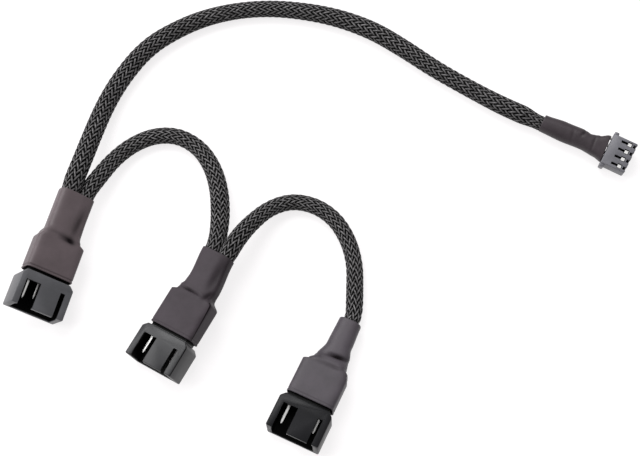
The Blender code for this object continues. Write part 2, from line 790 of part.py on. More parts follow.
def build_board_plug(shapes, parts, materials):
    """Housing, four contacts, wires and boot of the board plug."""
    name = PLUG_PLACE["name"]
    boot = shrink_tube(f"{name}_boot", plug_boot_rings(), parts, materials["shrink_tube"])
    empty = lay_on_table(PLUG_PLACE, [shapes["plug_housing"], boot.data])
    parts.objects.link(empty)
    fix_to(empty, boot)
    housing = object_from_mesh(f"{name}_housing", shapes["plug_housing"], parts)
    fix_to(empty, housing)
    for index, x in enumerate(pin_places(PLUG_PITCH), start=1):
        contact = object_from_mesh(f"{name}_contact_{index}", shapes["plug_contact"], parts)
        contact.location = (x, 0.0, 0.0)
        fix_to(empty, contact)
        start_y = PLUG_LENGTH + CONTACT_TAIL + FIT_GAP
        place = pin_places(WIRE_SPACING)[index - 1]
        piece = wire(
            f"{name}_wire_{index}",
            (x, start_y, CONTACT_LIFT),
            (place, plug_boot_end() - FIT_GAP, 0.0),
            lambda y: (plug_boot_drift(y), 1.0),
            PLUG_WIRE_GATHER,
            parts,
            materials["wire_insulation"],
        )
        fix_to(empty, piece)
    return empty


def sleeve_exit(empty, x, y):
    """Two points in the table's frame: where a sleeve meets its boot, and where it ends its straight stretch."""
    frame = Matrix.LocRotScale(empty.location, empty.rotation_euler, None)
    return [frame @ Vector((x, y + FIT_GAP + along, 0.0)) for along in (0.0, SLEEVE_STRAIGHT)]


def build_cable(name, start, route, end, diameter, parts, material):
    """A plain tube from one boot to the next: straight out of each boot, and a smooth curve between."""
    between = smooth_route([start[1], *map(Vector, route), end[1]], CABLE_POINT_SPACING)
    tube(name, [start[0], *between, end[0]], diameter, 2, parts, material)


def build():
    clear_scene()
    parts = new_collection("fan_splitter_cable")
    cutters = new_collection("cutters")
    materials = {name: make_material(name) for name in FINISHES}
    shapes = {
        "fan_housing": fan_housing_shape(cutters, materials["housing_plastic"]),
        "fan_pin": fan_pin_shape(cutters, materials["pin_metal"]),
        "plug_housing": plug_housing_shape(cutters, materials["housing_plastic"]),
        "plug_contact": plug_contact_shape(cutters, materials["pin_metal"]),
    }
    first, second, third = [build_fan_port(port, shapes, parts, materials) for port in PORTS]
    plug = build_board_plug(shapes, parts, materials)
    bpy.context.view_layer.update()

    end = boot_end()
    main_start = sleeve_exit(first, PORTS[0]["sleeves"][0], end)
    main_end = sleeve_exit(plug, PLUG_BOOT_DRIFT, plug_boot_end())
    link_1_start = sleeve_exit(first, PORTS[0]["sleeves"][1], end)
    link_1_end = sleeve_exit(second, PORTS[1]["sleeves"][0], end)
    link_2_start = sleeve_exit(second, PORTS[1]["sleeves"][1], end)
    link_2_end = sleeve_exit(third, PORTS[2]["sleeves"][0], end)
    braid = materials["braid"]
    build_cable("main_cable", main_start, MAIN_ROUTE, main_end, MAIN_CABLE_DIAMETER, parts, braid)
    build_cable("link_cable_1", link_1_start, LINK_1_ROUTE, link_1_end, LINK_CABLE_DIAMETER, parts, braid)
    build_cable("link_cable_2", link_2_start, LINK_2_ROUTE, link_2_end, LINK_CABLE_DIAMETER, parts, braid)


build()
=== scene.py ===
# %% [markdown]
# # A fan splitter cable, dressed for a picture
#
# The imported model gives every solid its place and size. This script adds what the eye needs: woven
# sleeves, creased heat shrink boots, soft edges on the mouldings, and finishes made of shader nodes.
# Every new piece is a surface worked out with numpy, in metres, in the same frame as the solids, so it
# goes where the solid is without fitting.

# %% Load the solids
import math

import bmesh
import bpy
import numpy as np
from mathutils import Euler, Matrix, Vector


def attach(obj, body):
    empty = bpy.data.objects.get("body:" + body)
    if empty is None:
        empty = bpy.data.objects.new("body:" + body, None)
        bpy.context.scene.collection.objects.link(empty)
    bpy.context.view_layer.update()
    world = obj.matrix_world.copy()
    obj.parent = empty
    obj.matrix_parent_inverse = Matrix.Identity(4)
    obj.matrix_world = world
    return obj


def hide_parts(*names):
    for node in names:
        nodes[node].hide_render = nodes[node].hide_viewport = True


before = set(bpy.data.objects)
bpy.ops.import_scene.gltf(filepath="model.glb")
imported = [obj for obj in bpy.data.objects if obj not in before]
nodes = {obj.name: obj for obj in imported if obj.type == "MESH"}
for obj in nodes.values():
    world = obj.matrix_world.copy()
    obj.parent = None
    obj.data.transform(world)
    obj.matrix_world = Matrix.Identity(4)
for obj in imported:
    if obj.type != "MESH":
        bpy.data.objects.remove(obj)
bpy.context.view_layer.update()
print("solids:", len(nodes))

# %% [markdown]
# ## The camera
#
# The picture was taken from in front and well above, close enough for the near end to look larger. A lens
# of about 63 mm held some 28 cm away gives that same perspective. The clip start is short because the
# object is so near.

# %% Camera
CAMERA_PLACE = Vector((-0.0026, -0.0834, 0.2594))
CAMERA_TARGET = Vector((-0.0026, 0.0130, 0.0))
CAMERA_LENS = 62.66

camera_data = bpy.data.cameras.new("camera")
camera_data.lens = CAMERA_LENS
camera_data.sensor_fit = "HORIZONTAL"
camera_data.clip_start = 0.01
camera = bpy.data.objects.new("camera", camera_data)
camera.location = CAMERA_PLACE
camera.rotation_euler = (CAMERA_TARGET - CAMERA_PLACE).to_track_quat("-Z", "Y").to_euler()
bpy.context.scene.collection.objects.link(camera)
bpy.context.scene.camera = camera
print("camera distance:", round((CAMERA_TARGET - CAMERA_PLACE).length, 4))

# %% [markdown]
# ## Where the connectors lie
#
# Each connector was made in its own frame and then laid on the table: X runs across it, Y runs from its
# mouth to its cable, Z is its thickness. The same turn and place are written here again, so that a boot
# can be shaped in that simple frame and moved out to the table as one array.

# %% Frames of the connectors
CONNECTORS = {
    "fan_port_1": ((-0.0703, -0.0108, 0.0066437), 14.8, 33.0, 2.0),
    "fan_port_2": ((-0.0417, -0.0237, 0.0048457), 29.8, -13.5, -3.0),
    "fan_port_3": ((-0.0090, -0.0401, 0.0043662), 25.3, -2.5, 3.5),
    "board_plug": ((0.07522, 0.02994, 0.0030954), -61.85, -14.0, 0.0),
}


def turn_of(connector):
    """The rotation matrix of a connector: roll about its length, then pitch, then heading on the table."""
    heading, roll, pitch = CONNECTORS[connector][1:]
    angles = (-math.radians(pitch), math.radians(roll), -math.radians(heading))
    return np.array(Euler(angles, "YXZ").to_matrix())


def to_table(connector, points):
    """Points of a connector's own frame on the table: turned, then moved to its mouth."""
    return np.asarray(points, float) @ turn_of(connector).T + np.array(CONNECTORS[connector][0])


for name in CONNECTORS:
    print(name, "mouth at", np.round(to_table(name, (0.0, 0.0, 0.0)), 4))

# %% [markdown]
# ## The lines of the three cables
#
# A cable is one smooth curve from boot to boot. The points between are the same as the solids follow.
# Inside each boot the line starts a little before the boot's end, so that the weave is seen to go in.

# %% Routes on the table
PORT_BOOT_END = 0.0313
PLUG_BOOT_END = 0.0237
HIDDEN_LENGTH = 0.0022
SLEEVE_STRAIGHT = 0.0020
PORT_SLEEVES = {
    "fan_port_1": (-0.0021, 0.0021),
    "fan_port_2": (-0.0030, 0.0012),
    "fan_port_3": (0.0003,),
}
PLUG_SLEEVE = -0.00085

MAIN_ROUTE = (
    (-0.0621, 0.0269, 0.0062),
    (-0.0598, 0.0372, 0.0041),
    (-0.0580, 0.0440, 0.0030),
    (-0.0556, 0.0502, 0.0025),
    (-0.0524, 0.0560, 0.0024),
    (-0.0486, 0.0612, 0.0024),
    (-0.0437, 0.0656, 0.0024),
    (-0.0354, 0.0704, 0.0024),
    (-0.0263, 0.0733, 0.0024),
    (-0.0167, 0.0743, 0.0024),
    (-0.0072, 0.0735, 0.0024),
    (0.0022, 0.0713, 0.0024),
    (0.0112, 0.0675, 0.0024),
    (0.0193, 0.0622, 0.0024),
    (0.0271, 0.0564, 0.0024),
    (0.0350, 0.0512, 0.0024),
    (0.0429, 0.0463, 0.0025),
    (0.0488, 0.0430, 0.0028),
)
LINK_1_ROUTE = (
    (-0.0577, 0.0250, 0.0038),
    (-0.0543, 0.0305, 0.0026),
    (-0.0499, 0.0347, 0.0021),
    (-0.0444, 0.0371, 0.0021),
    (-0.0385, 0.0369, 0.0021),
    (-0.0332, 0.0336, 0.0021),
    (-0.0297, 0.0283, 0.0022),
    (-0.0278, 0.0220, 0.0028),
    (-0.0271, 0.0153, 0.0041),
    (-0.0272, 0.0100, 0.0053),
)
LINK_2_ROUTE = (
    (-0.0224, 0.0078, 0.0067),
    (-0.0193, 0.0124, 0.0051),
    (-0.0149, 0.0170, 0.0031),
    (-0.0094, 0.0191, 0.0022),
    (-0.0036, 0.0179, 0.0021),
    (0.0011, 0.0143, 0.0021),
    (0.0042, 0.0090, 0.0021),
    (0.0057, 0.0031, 0.0021),
    (0.0058, -0.0030, 0.0022),
)


def sleeve_ends(connector, across, boot_end):
    """Three points of a sleeve: hidden in its boot, at the boot's end, and past its straight stretch."""
    along = (boot_end - HIDDEN_LENGTH, boot_end, boot_end + SLEEVE_STRAIGHT)
    return to_table(connector, [(across, y, 0.0) for y in along])


MAIN_POINTS = np.vstack([
    sleeve_ends("fan_port_1", PORT_SLEEVES["fan_port_1"][0], PORT_BOOT_END),
    MAIN_ROUTE,
    sleeve_ends("board_plug", PLUG_SLEEVE, PLUG_BOOT_END)[::-1],
])
LINK_1_POINTS = np.vstack([
    sleeve_ends("fan_port_1", PORT_SLEEVES["fan_port_1"][1], PORT_BOOT_END),
    LINK_1_ROUTE,
    sleeve_ends("fan_port_2", PORT_SLEEVES["fan_port_2"][0], PORT_BOOT_END)[::-1],
])
LINK_2_POINTS = np.vstack([
    sleeve_ends("fan_port_2", PORT_SLEEVES["fan_port_2"][1], PORT_BOOT_END),
    LINK_2_ROUTE,
    sleeve_ends("fan_port_3", PORT_SLEEVES["fan_port_3"][0], PORT_BOOT_END)[::-1],
])
print("points on the cables:", len(MAIN_POINTS), len(LINK_1_POINTS), len(LINK_2_POINTS))

# %% [markdown]
# A Catmull-Rom curve passes through every point. Its samples are then spread evenly and averaged over a
# few millimetres, because a sleeve full of wires can't follow a sharp change of direction.

# %% Smooth, evenly spaced centre lines
SAMPLES_PER_SPAN = 24
SMOOTHING_LENGTH = 0.005


def distances(line):
    """The distance along a line to each of its points: the running sum of the steps."""
    steps = np.linalg.norm(np.diff(line, axis=0), axis=1)
    return np.concatenate([[0.0], np.cumsum(steps)])


def respaced(line, step):
    """The line with its points at even steps, by linear interpolation over the distance along it."""
    along = distances(line)
    even = np.linspace(0.0, along[-1], round(along[-1] / step) + 1)
    return np.stack([np.interp(even, along, line[:, axis]) for axis in range(3)], axis=1)


def centre_line(points, step):
    """A Catmull-Rom curve: in each span p1 + a t + b t^2 + c t^3, then a mean under a raised cosine."""
    padded = np.vstack([2 * points[0] - points[1], points, 2 * points[-1] - points[-2]])
    p0, p1, p2, p3 = (padded[shift : len(padded) - 3 + shift, None, :] for shift in range(4))
    t = np.linspace(0.0, 1.0, SAMPLES_PER_SPAN, endpoint=False)[None, :, None]
    bend = p0 - 2.5 * p1 + 2.0 * p2 - 0.5 * p3
    cubic = 1.5 * (p1 - p2) + 0.5 * (p3 - p0)
    spans = p1 + 0.5 * (p2 - p0) * t + bend * t**2 + cubic * t**3
    line = respaced(np.vstack([spans.reshape(-1, 3), points[-1:]]), step)
    half = round(SMOOTHING_LENGTH / step / 2)
    window = 1.0 + np.cos(np.pi * np.arange(-half, half + 1) / (half + 1))
    before = 2 * line[0] - line[half:0:-1]
    after = 2 * line[-1] - line[-2 : -half - 2 : -1]
    long_line = np.vstack([before, line, after])
    means = [np.convolve(long_line[:, axis], window / window.sum(), "valid") for axis in range(3)]
    return respaced(np.stack(means, axis=1), step)


# %% [markdown]
# ## The woven sleeve
#
# A braided sleeve is 32 flat bundles of yarn: sixteen wind to the right and sixteen to the left. Each
# goes over two others and under two, and where neighbouring bundles keep step, the surface shows arrows
# in rows along the cable. A bump texture can't give the ragged outline and the dark gaps of such a weave,
# so every bundle is modelled as its own ribbon on a helix. Its distance from the middle rises and falls
# as it crosses the others.
#
# The rows stay in place because of the count: crossings lie in 32 columns round the cable, and the bundle
# on top changes every two columns.

# %% Counts and sizes of the weave
CARRIERS_EACH_WAY = 16
WEAVE_PITCH = 0.0288
SAMPLES_PER_TURN = 78
BUNDLE_WIDTH_SHARE = 0.23
BUNDLE_THICKNESS = 0.00036
BUNDLE_BEND_SHARE = 1.3
WEAVE_RISE = 0.00018
RIBBONS = 2 * CARRIERS_EACH_WAY
RIBBON_SIDES = 6


def smooth_step(value):
    """0 before 0 and 1 after 1, with a level start and end: 3 t^2 - 2 t^3."""
    t = np.clip(value, 0.0, 1.0)
    return t * t * (3.0 - 2.0 * t)


def unit(vectors):
    """Each vector divided by its length."""
    return vectors / np.linalg.norm(vectors, axis=-1, keepdims=True)


def side_and_up(line):
    """Sideways and upward directions of a line: sideways is level, up is square to it and to the line."""
    along = unit(np.gradient(line, axis=0))
    side = unit(np.cross([0.0, 0.0, 1.0], along))
    return side, np.cross(along, side)


def weave_height(columns):
    """How far a bundle stands out at a place counted in columns: sin(pi/2 cos) is a wave with flat tops."""
    return np.sin(0.5 * np.pi * np.cos(0.5 * np.pi * (columns - 0.5)))


# %% [markdown]
# The ribbons of one sleeve are one array: way, bundle, place along the cable, corner of the section. The
# helix angle runs with the distance and the pitch. A unit vector along the helix, the outward normal of
# the oval sleeve and their cross product carry the section, which is a flat oval bent a little round the
# cable.


# %% Ribbons on helices
def braid_points(line, half_width, half_height, start_angle, twist):
    """Ribbon corners: centre + S a cos(f) + U b sin(f), and on each such point the turned flat oval.

    The angle is f = way * 2 pi s / pitch + bundle + twist + start. The half axes a and b are the sleeve's,
    less what the weave stands out. Also gives how high each place of a bundle lies in the weave, from -1
    under the others to 1 over them.
    """
    side, up = side_and_up(line)
    place = distances(line)
    way = np.array([1.0, -1.0])[:, None, None]
    bundle = np.arange(CARRIERS_EACH_WAY)[None, :, None]
    turn = 2 * np.pi * place / WEAVE_PITCH
    angle = way * turn + 2 * np.pi * bundle / CARRIERS_EACH_WAY
    columns = angle * CARRIERS_EACH_WAY / np.pi
    level = way * weave_height(columns)
    rise = WEAVE_RISE * level
    angle = angle + start_angle + twist
    inset = WEAVE_RISE + 0.5 * BUNDLE_THICKNESS
    wide = (half_width - inset + rise)[..., None]
    high = (half_height - inset + rise)[..., None]
    cosine = np.cos(angle)[..., None]
    sine = np.sin(angle)[..., None]
    middle = line + side * wide * cosine + up * high * sine
    outward = unit(side * high * cosine + up * wide * sine)
    forward = unit(np.gradient(middle, axis=2))
    across = unit(np.cross(outward, forward))
    outward = np.cross(forward, across)
    corner = 2 * np.pi * np.arange(RIBBON_SIDES) / RIBBON_SIDES
    mean_width = np.mean(half_width)
    reach = 0.5 * BUNDLE_WIDTH_SHARE * mean_width * np.cos(corner)
    lift = 0.5 * BUNDLE_THICKNESS * np.sin(corner) - reach**2 / (2 * BUNDLE_BEND_SHARE * mean_width)
    section = across[..., None, :] * reach[:, None] + outward[..., None, :] * lift[:, None]
    return middle[..., None, :] + section, np.repeat(level[..., None], RIBBON_SIDES, axis=-1)


# %% [markdown]
# Every mesh here goes into Blender the same way: points, faces as arrays of corner numbers, and where a
# pattern has to follow the surface, a UV for each corner. The signed volume of the mesh is printed with
# it. It is the sum over the triangles of a . (b x c) / 6, and it is above zero only if the faces look
# outwards.


# %% From arrays to an object
def grid_faces(rows, columns, close_rows=False, first=0):
    """Quads of a grid whose columns close round: (i, j), (i, j+1), (i+1, j+1), (i+1, j)."""
    last = rows if close_rows else rows - 1
    i, j = np.meshgrid(np.arange(last), np.arange(columns), indexing="ij")
    below = (i + 1) % rows
    right = (j + 1) % columns
    corners = (i * columns + j, i * columns + right, below * columns + right, below * columns + j)
    return first + np.stack(corners, axis=-1).reshape(-1, 4)


def grid_uv(rows, columns, along):
    """The UV of every corner of an open grid_faces: the share round the columns, and the rows' own value."""
    i, j = np.meshgrid(np.arange(rows - 1), np.arange(columns), indexing="ij")
    u = np.stack([j, j + 1, j + 1, j], axis=-1) / columns
    v = np.stack([along[i], along[i], along[i + 1], along[i + 1]], axis=-1)
    return np.stack([u, v], axis=-1).reshape(-1, 2)


def signed_volume(points, faces):
    """The volume inside the faces, each split into triangles from its first corner."""
    total = 0.0
    for group in faces:
        first = points[group[:, 0]]
        for corner in range(1, group.shape[1] - 1):
            near = points[group[:, corner]]
            far = points[group[:, corner + 1]]
            total += np.einsum("ij,ij->", first, np.cross(near, far)) / 6
    return total


def new_piece(name, points, faces, materials, uv=None, finish=None):
    """An object from points, groups of faces of one size, a UV per corner and a material number per face."""
    points = np.asarray(points, float).reshape(-1, 3)
    corners = np.concatenate([group.ravel() for group in faces])
    sizes = np.concatenate([np.full(len(group), group.shape[1]) for group in faces])
    mesh = bpy.data.meshes.new(name)
    mesh.vertices.add(len(points))
    mesh.vertices.foreach_set("co", points.ravel())
    mesh.loops.add(len(corners))
    mesh.loops.foreach_set("vertex_index", corners.astype(np.int32))
    mesh.polygons.add(len(sizes))
    mesh.polygons.foreach_set("loop_start", np.concatenate([[0], np.cumsum(sizes)[:-1]]).astype(np.int32))
    if uv is not None:
        layer = mesh.uv_layers.new(name="surface")
        layer.data.foreach_set("uv", np.asarray(uv, float).ravel())
    for material in materials:
        mesh.materials.append(material)
    if finish is not None:
        mesh.polygons.foreach_set("material_index", np.asarray(finish, np.int32))
    mesh.update(calc_edges=True)
    mesh.validate()
    mesh.shade_smooth()
    piece = bpy.data.objects.new(name, mesh)
    bpy.context.scene.collection.objects.link(piece)
    triangles = int((sizes - 2).sum())
    print(name, "triangles:", triangles, "volume in mm3:", round(signed_volume(points, faces) * 1e9, 2))
    return piece


# %% [markdown]
# ## Finishes from nodes
#
# Each finish is a Principled shader with a few nodes before it. One helper adds a node and joins its
# inputs, so that a material reads as a short list. Patterns use Object coordinates, or the piece's UV
# where they follow the yarn.


# %% Helpers for node materials
MIX_COLOUR_SLOTS = (6, 7)
MIX_RESULT_SLOT = 2


def new_material(name):
    """A material with a Principled shader, returned with its node tree."""
    material = bpy.data.materials.new(name)
    material.use_nodes = True
    tree = material.node_tree
    return material, tree, tree.nodes["Principled BSDF"]


def node(tree, kind, settings=None, **inputs):
    """A new node with its settings, and each named input joined to a socket or given a value."""
    made = tree.nodes.new(kind)
    for key, value in (settings or {}).items():
        setattr(made, key, value)
    for key, value in inputs.items():
        if key.startswith("slot"):
            socket = made.inputs[int(key.removeprefix("slot"))]
        else:
            socket = made.inputs[key.replace("_", " ")]
        if isinstance(value, bpy.types.NodeSocket):
            tree.links.new(value, socket)
        else:
            socket.default_value = value
    return made


def math_node(tree, operation, first, second=0.0):
    """One sum, product or other operation on two values."""
    made = node(tree, "ShaderNodeMath", {"operation": operation}, slot0=first, slot1=second)
    return made.outputs[0]


def noise(tree, coordinates, scale, detail=2.0, roughness=0.5):
    """Procedural noise between 0 and 1, at a number of features per metre."""
    made = node(
        tree,
        "ShaderNodeTexNoise",
        Vector=coordinates,
        Scale=scale,
        Detail=detail,
        Roughness=roughness,
    )
    return made.outputs["Fac"]


def ramp(tree, value, low, high, from_low=0.0, from_high=1.0):
    """Carries a value from one range to another, straight between the ends."""
    made = node(
        tree,
        "ShaderNodeMapRange",
        Value=value,
        From_Min=from_low,
        From_Max=from_high,
        To_Min=low,
        To_Max=high,
    )
    return made.outputs["Result"]


def mixed_colour(tree, share, first, second):
    """A colour between two colours, each given as three numbers or as a socket."""
    made = node(tree, "ShaderNodeMix", {"data_type": "RGBA"}, slot0=share)
    for slot, colour in zip(MIX_COLOUR_SLOTS, (first, second)):
        if isinstance(colour, bpy.types.NodeSocket):
            tree.links.new(colour, made.inputs[slot])
        else:
            made.inputs[slot].default_value = (*colour, 1.0)
    return made.outputs[MIX_RESULT_SLOT]


def bumped(tree, height, distance, strength=1.0, below=None):
    """A normal from a height times a distance in metres, on top of another bump if one is given."""
    made = node(tree, "ShaderNodeBump", Height=height, Distance=distance, Strength=strength)
    if below is not None:
        tree.links.new(below, made.inputs["Normal"])
    return made.outputs["Normal"]


# %% [markdown]
# Yarn is black, and its light and shade are painted into its colour: a painted highlight along the crown of
# every bundle where it lies over the others, and painted shade where it dives under them and at its edges.
# The single filaments make fine lines along it. The UV of a ribbon runs round its section, so a sine of it
# places the painted highlight and gives the filaments, and the piece's own "level" value says where the
# bundle is on top. Small changes of tone from place to place keep the weave from looking printed.

# %% Yarn with a painted crown highlight, and the dark inside of the sleeve, partly painted shade
FILAMENTS_ROUND_BUNDLE = 12
YARN_DARK = (0.0006, 0.0006, 0.0007)
YARN_HIGHLIGHT = (0.27, 0.26, 0.265)
CROWN_SHARPNESS = 1.8
CORE_DARK = (0.001, 0.001, 0.001)
CORE_LIGHT = (0.003, 0.003, 0.003)

yarn, tree, shader = new_material("yarn")
uv = node(tree, "ShaderNodeUVMap", {"uv_map": "surface"}).outputs["UV"]
parts = node(tree, "ShaderNodeSeparateXYZ", Vector=uv)
turn = math_node(tree, "MULTIPLY", parts.outputs["X"], 2 * math.pi)
# Painted highlight: the crown of each ribbon's section is made bright in the base colour, and its edges dark.
crown_highlight = math_node(tree, "MAXIMUM", math_node(tree, "SINE", turn), 0.0)
crown_highlight = math_node(tree, "POWER", crown_highlight, CROWN_SHARPNESS)
level = node(tree, "ShaderNodeAttribute", {"attribute_name": "level"}).outputs["Fac"]
# Painted shade where the bundle dives under the others.
crown_highlight = math_node(tree, "MULTIPLY", crown_highlight, ramp(tree, level, 0.06, 1.0, -0.5, 1.0))
filaments = math_node(tree, "SINE", math_node(tree, "MULTIPLY", turn, FILAMENTS_ROUND_BUNDLE))
filaments = ramp(tree, filaments, 0.0, 1.0, -1.0, 1.0)
place = node(tree, "ShaderNodeTexCoord").outputs["Object"]
tone = noise(tree, place, 1300.0, 3.0, 0.7)
fine = noise(tree, place, 7000.0, 2.0, 0.6)
shade = math_node(tree, "MULTIPLY", ramp(tree, tone, 0.2, 1.0, 0.3, 0.7), ramp(tree, filaments, 0.6, 1.0))
shade = math_node(tree, "MULTIPLY", shade, crown_highlight)
tree.links.new(mixed_colour(tree, shade, YARN_DARK, YARN_HIGHLIGHT), shader.inputs["Base Color"])
tree.links.new(ramp(tree, fine, 0.34, 0.52), shader.inputs["Roughness"])
# The reflection follows the painted highlight too, so the gaps of the weave stay dark.
tree.links.new(ramp(tree, shade, 0.0, 0.6), shader.inputs["Specular IOR Level"])
tree.links.new(bumped(tree, filaments, 0.00001, 0.5), shader.inputs["Normal"])

# The core stands for the dark wires inside the sleeve, but it is near black and has no reflection, darker
# than the wire insulation: partly the wires' own dark colour, partly painted shade in the gaps of the weave.
sleeve_inside, tree, shader = new_material("sleeve_inside")
place = node(tree, "ShaderNodeTexCoord").outputs["Object"]
core_tone = mixed_colour(tree, noise(tree, place, 1500.0), CORE_DARK, CORE_LIGHT)
tree.links.new(core_tone, shader.inputs["Base Color"])
shader.inputs["Roughness"].default_value = 0.9
shader.inputs["Specular IOR Level"].default_value = 0.0
print("materials:", yarn.name, sleeve_inside.name)

# %% [markdown]
# A sleeve swells and narrows with the wires inside it and the pull on it. The photograph's widths are
# written as a few pairs: distance along the sleeve and half its width. Inside a boot it is pressed to the
# boot's bore. Where it lies on the table, its middle is as far above the table as half its height.

# %% One sleeve
CORE_INSET = 0.00075
CORE_SIDES = 20
CORE_STRIDE = 3
RIBBON_STEP = WEAVE_PITCH / SAMPLES_PER_TURN


def eased(pairs, place):
    """A value that eases from pair to pair (place, value) over the distance."""
    where, values = np.array(pairs, float).T
    number = np.clip(np.searchsorted(where, place, side="right") - 1, 0, len(where) - 2)
    share = smooth_step((place - where[number]) / (where[number + 1] - where[number]))
    return values[number] + (values[number + 1] - values[number]) * share


def oval_core(line, widths, heights):
    """The dark inside: rings centre + S a cos(f) + U b sin(f), a little within the ribbons."""
    core_line = line[::CORE_STRIDE]
    if (len(line) - 1) % CORE_STRIDE:
        core_line = np.vstack([core_line, line[-1:]])
    place = distances(core_line)
    side, up = side_and_up(core_line)
    angle = 2 * np.pi * np.arange(CORE_SIDES)[:, None] / CORE_SIDES
    wide = (eased(widths, place) - CORE_INSET)[:, None, None]
    high = (eased(heights, place) - CORE_INSET)[:, None, None]
    ring = side[:, None] * wide * np.cos(angle) + up[:, None] * high * np.sin(angle)
    return core_line[:, None] + ring, place


def tube_faces(rows, columns, first):
    """The quads of an open tube and the two faces that close its ends, numbered from its first point."""
    front = np.arange(columns)[::-1]
    back = (rows - 1) * columns + np.arange(columns)
    return grid_faces(rows, columns, first=first), first + np.vstack([front, back])


def woven_sleeve(name, solid, points, widths, heights, start_angle, twists, rest_radius):
    """The ribbons and the dark core of one sleeve, as one mesh along its centre line."""
    line = centre_line(points, RIBBON_STEP)
    place = distances(line)
    half_width = eased(widths, place)
    half_height = eased(heights, place)
    line[:, 2] -= rest_radius - half_height
    ribbons, level = braid_points(line, half_width, half_height, start_angle, eased(twists, place))
    core, core_place = oval_core(line, widths, heights)

    ribbon_points = len(line) * RIBBON_SIDES
    tubes = [tube_faces(len(line), RIBBON_SIDES, ribbon * ribbon_points) for ribbon in range(RIBBONS)]
    walls, caps = zip(*tubes)
    caps = np.concatenate(caps)
    core_walls, core_caps = tube_faces(len(core), CORE_SIDES, RIBBONS * ribbon_points)
    ribbon_uv = [grid_uv(len(line), RIBBON_SIDES, place)] * RIBBONS
    core_uv = grid_uv(len(core), CORE_SIDES, core_place)
    uv = [*ribbon_uv, np.zeros((caps.size, 2)), core_uv, np.zeros((core_caps.size, 2))]

    woven_count = sum(len(wall) for wall in walls) + len(caps)
    core_count = len(core_walls) + len(core_caps)
    piece = new_piece(
        name,
        np.vstack([ribbons.reshape(-1, 3), core.reshape(-1, 3)]),
        [*walls, caps, core_walls, core_caps],
        [yarn, sleeve_inside],
        uv=np.vstack(uv),
        finish=np.repeat([0, 1], [woven_count, core_count]),
    )
    levels = np.concatenate([level.ravel(), np.zeros(len(core) * CORE_SIDES)])
    piece.data.attributes.new("level", "FLOAT", "POINT").data.foreach_set("value", levels)
    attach(piece, "root")
    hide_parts(solid)
    print(name, "length in mm:", round(place[-1] * 1000, 1))
    return piece, line


# %% [markdown]
# ## The three sleeves
#
# The main sleeve holds the most wires and is the thickest. Both link sleeves are thinner where they bend.

# %% Widths and heights of the sleeves
MAIN_WIDTHS = (
    (0.0, 0.00204), (0.0018, 0.00208), (0.0032, 0.00236), (0.006, 0.00252), (0.045, 0.00250),
    (0.076, 0.00221), (0.112, 0.00253), (0.140, 0.00232), (0.1565, 0.00246), (0.1610, 0.00196),
    (0.1645, 0.00186),
)
MAIN_HEIGHTS = (
    (0.0, 0.00188), (0.0022, 0.00195), (0.007, 0.00232), (0.045, 0.00232), (0.076, 0.00215),
    (0.112, 0.00234), (0.140, 0.00222), (0.1565, 0.00232), (0.1610, 0.00192), (0.1645, 0.00188),
)
LINK_1_WIDTHS = (
    (0.0, 0.00192), (0.0018, 0.00196), (0.0032, 0.00220), (0.006, 0.00226), (0.018, 0.00212),
    (0.036, 0.00216), (0.058, 0.00243), (0.0680, 0.00228), (0.0705, 0.00206), (0.0728, 0.00200),
)
LINK_1_HEIGHTS = (
    (0.0, 0.00186), (0.0022, 0.00190), (0.006, 0.00205), (0.018, 0.00193), (0.036, 0.00194),
    (0.058, 0.00212), (0.0700, 0.00192), (0.0728, 0.00186),
)
LINK_2_WIDTHS = (
    (0.0, 0.00196), (0.0018, 0.00200), (0.0032, 0.00226), (0.006, 0.00232), (0.022, 0.00206),
    (0.046, 0.00207), (0.060, 0.00214), (0.0650, 0.00202), (0.0680, 0.00192),
)
LINK_2_HEIGHTS = (
    (0.0, 0.00186), (0.0022, 0.00190), (0.006, 0.00210), (0.022, 0.00186), (0.046, 0.00188),
    (0.060, 0.00200), (0.0650, 0.00192), (0.0680, 0.00186),
)
for name, widths in (("main", MAIN_WIDTHS), ("link 1", LINK_1_WIDTHS), ("link 2", LINK_2_WIDTHS)):
    print(name, "sleeve is widest with", round(2000 * max(width for place, width in widths), 2), "mm")

# %% [markdown]
# A sleeve is seldom put on without a twist. It slowly turns along its length, so the rows of arrows
# wander over its side. The twist is written as pairs too: distance along the sleeve and angle.

# %% Make the sleeves
MAIN_TWISTS = ((0.0, 0.0), (0.050, 0.35), (0.100, 0.1), (0.160, 0.6))
LINK_1_TWISTS = ((0.0, 0.0), (0.035, 0.5), (0.068, 0.2))
LINK_2_TWISTS = ((0.0, 0.0), (0.035, -0.3), (0.068, 0.3))
MAIN_REST_RADIUS = 0.00235
LINK_REST_RADIUS = 0.0020

main_sleeve, main_line = woven_sleeve(
    "main_sleeve",
    "main_cable",
    MAIN_POINTS,
    MAIN_WIDTHS,
    MAIN_HEIGHTS,
    start_angle=0.35,
    twists=MAIN_TWISTS,
    rest_radius=MAIN_REST_RADIUS,
)
link_1_sleeve, link_1_line = woven_sleeve(
    "link_sleeve_1",
    "link_cable_1",
    LINK_1_POINTS,
    LINK_1_WIDTHS,
    LINK_1_HEIGHTS,
    start_angle=0.1,
    twists=LINK_1_TWISTS,
    rest_radius=LINK_REST_RADIUS,
)
link_2_sleeve, link_2_line = woven_sleeve(
    "link_sleeve_2",
    "link_cable_2",
    LINK_2_POINTS,
    LINK_2_WIDTHS,
    LINK_2_HEIGHTS,
    start_angle=0.0,
    twists=LINK_2_TWISTS,
    rest_radius=LINK_REST_RADIUS,
)

# %% [markdown]
# The real length and diameter of each sleeve are written here. Both of its ends go into boots, which are
# part of the object.

MAIN_LENGTH = 0.164
LINK_1_LENGTH = 0.072
LINK_2_LENGTH = 0.068
MAIN_DIAMETER = 0.0047
LINK_DIAMETER = 0.0040

for sleeve, line, length, diameter in (
    (main_sleeve, main_line, MAIN_LENGTH, MAIN_DIAMETER),
    (link_1_sleeve, link_1_line, LINK_1_LENGTH, LINK_DIAMETER),
    (link_2_sleeve, link_2_line, LINK_2_LENGTH, LINK_DIAMETER),
):
    print(sleeve.name, "declared with", length, "m")

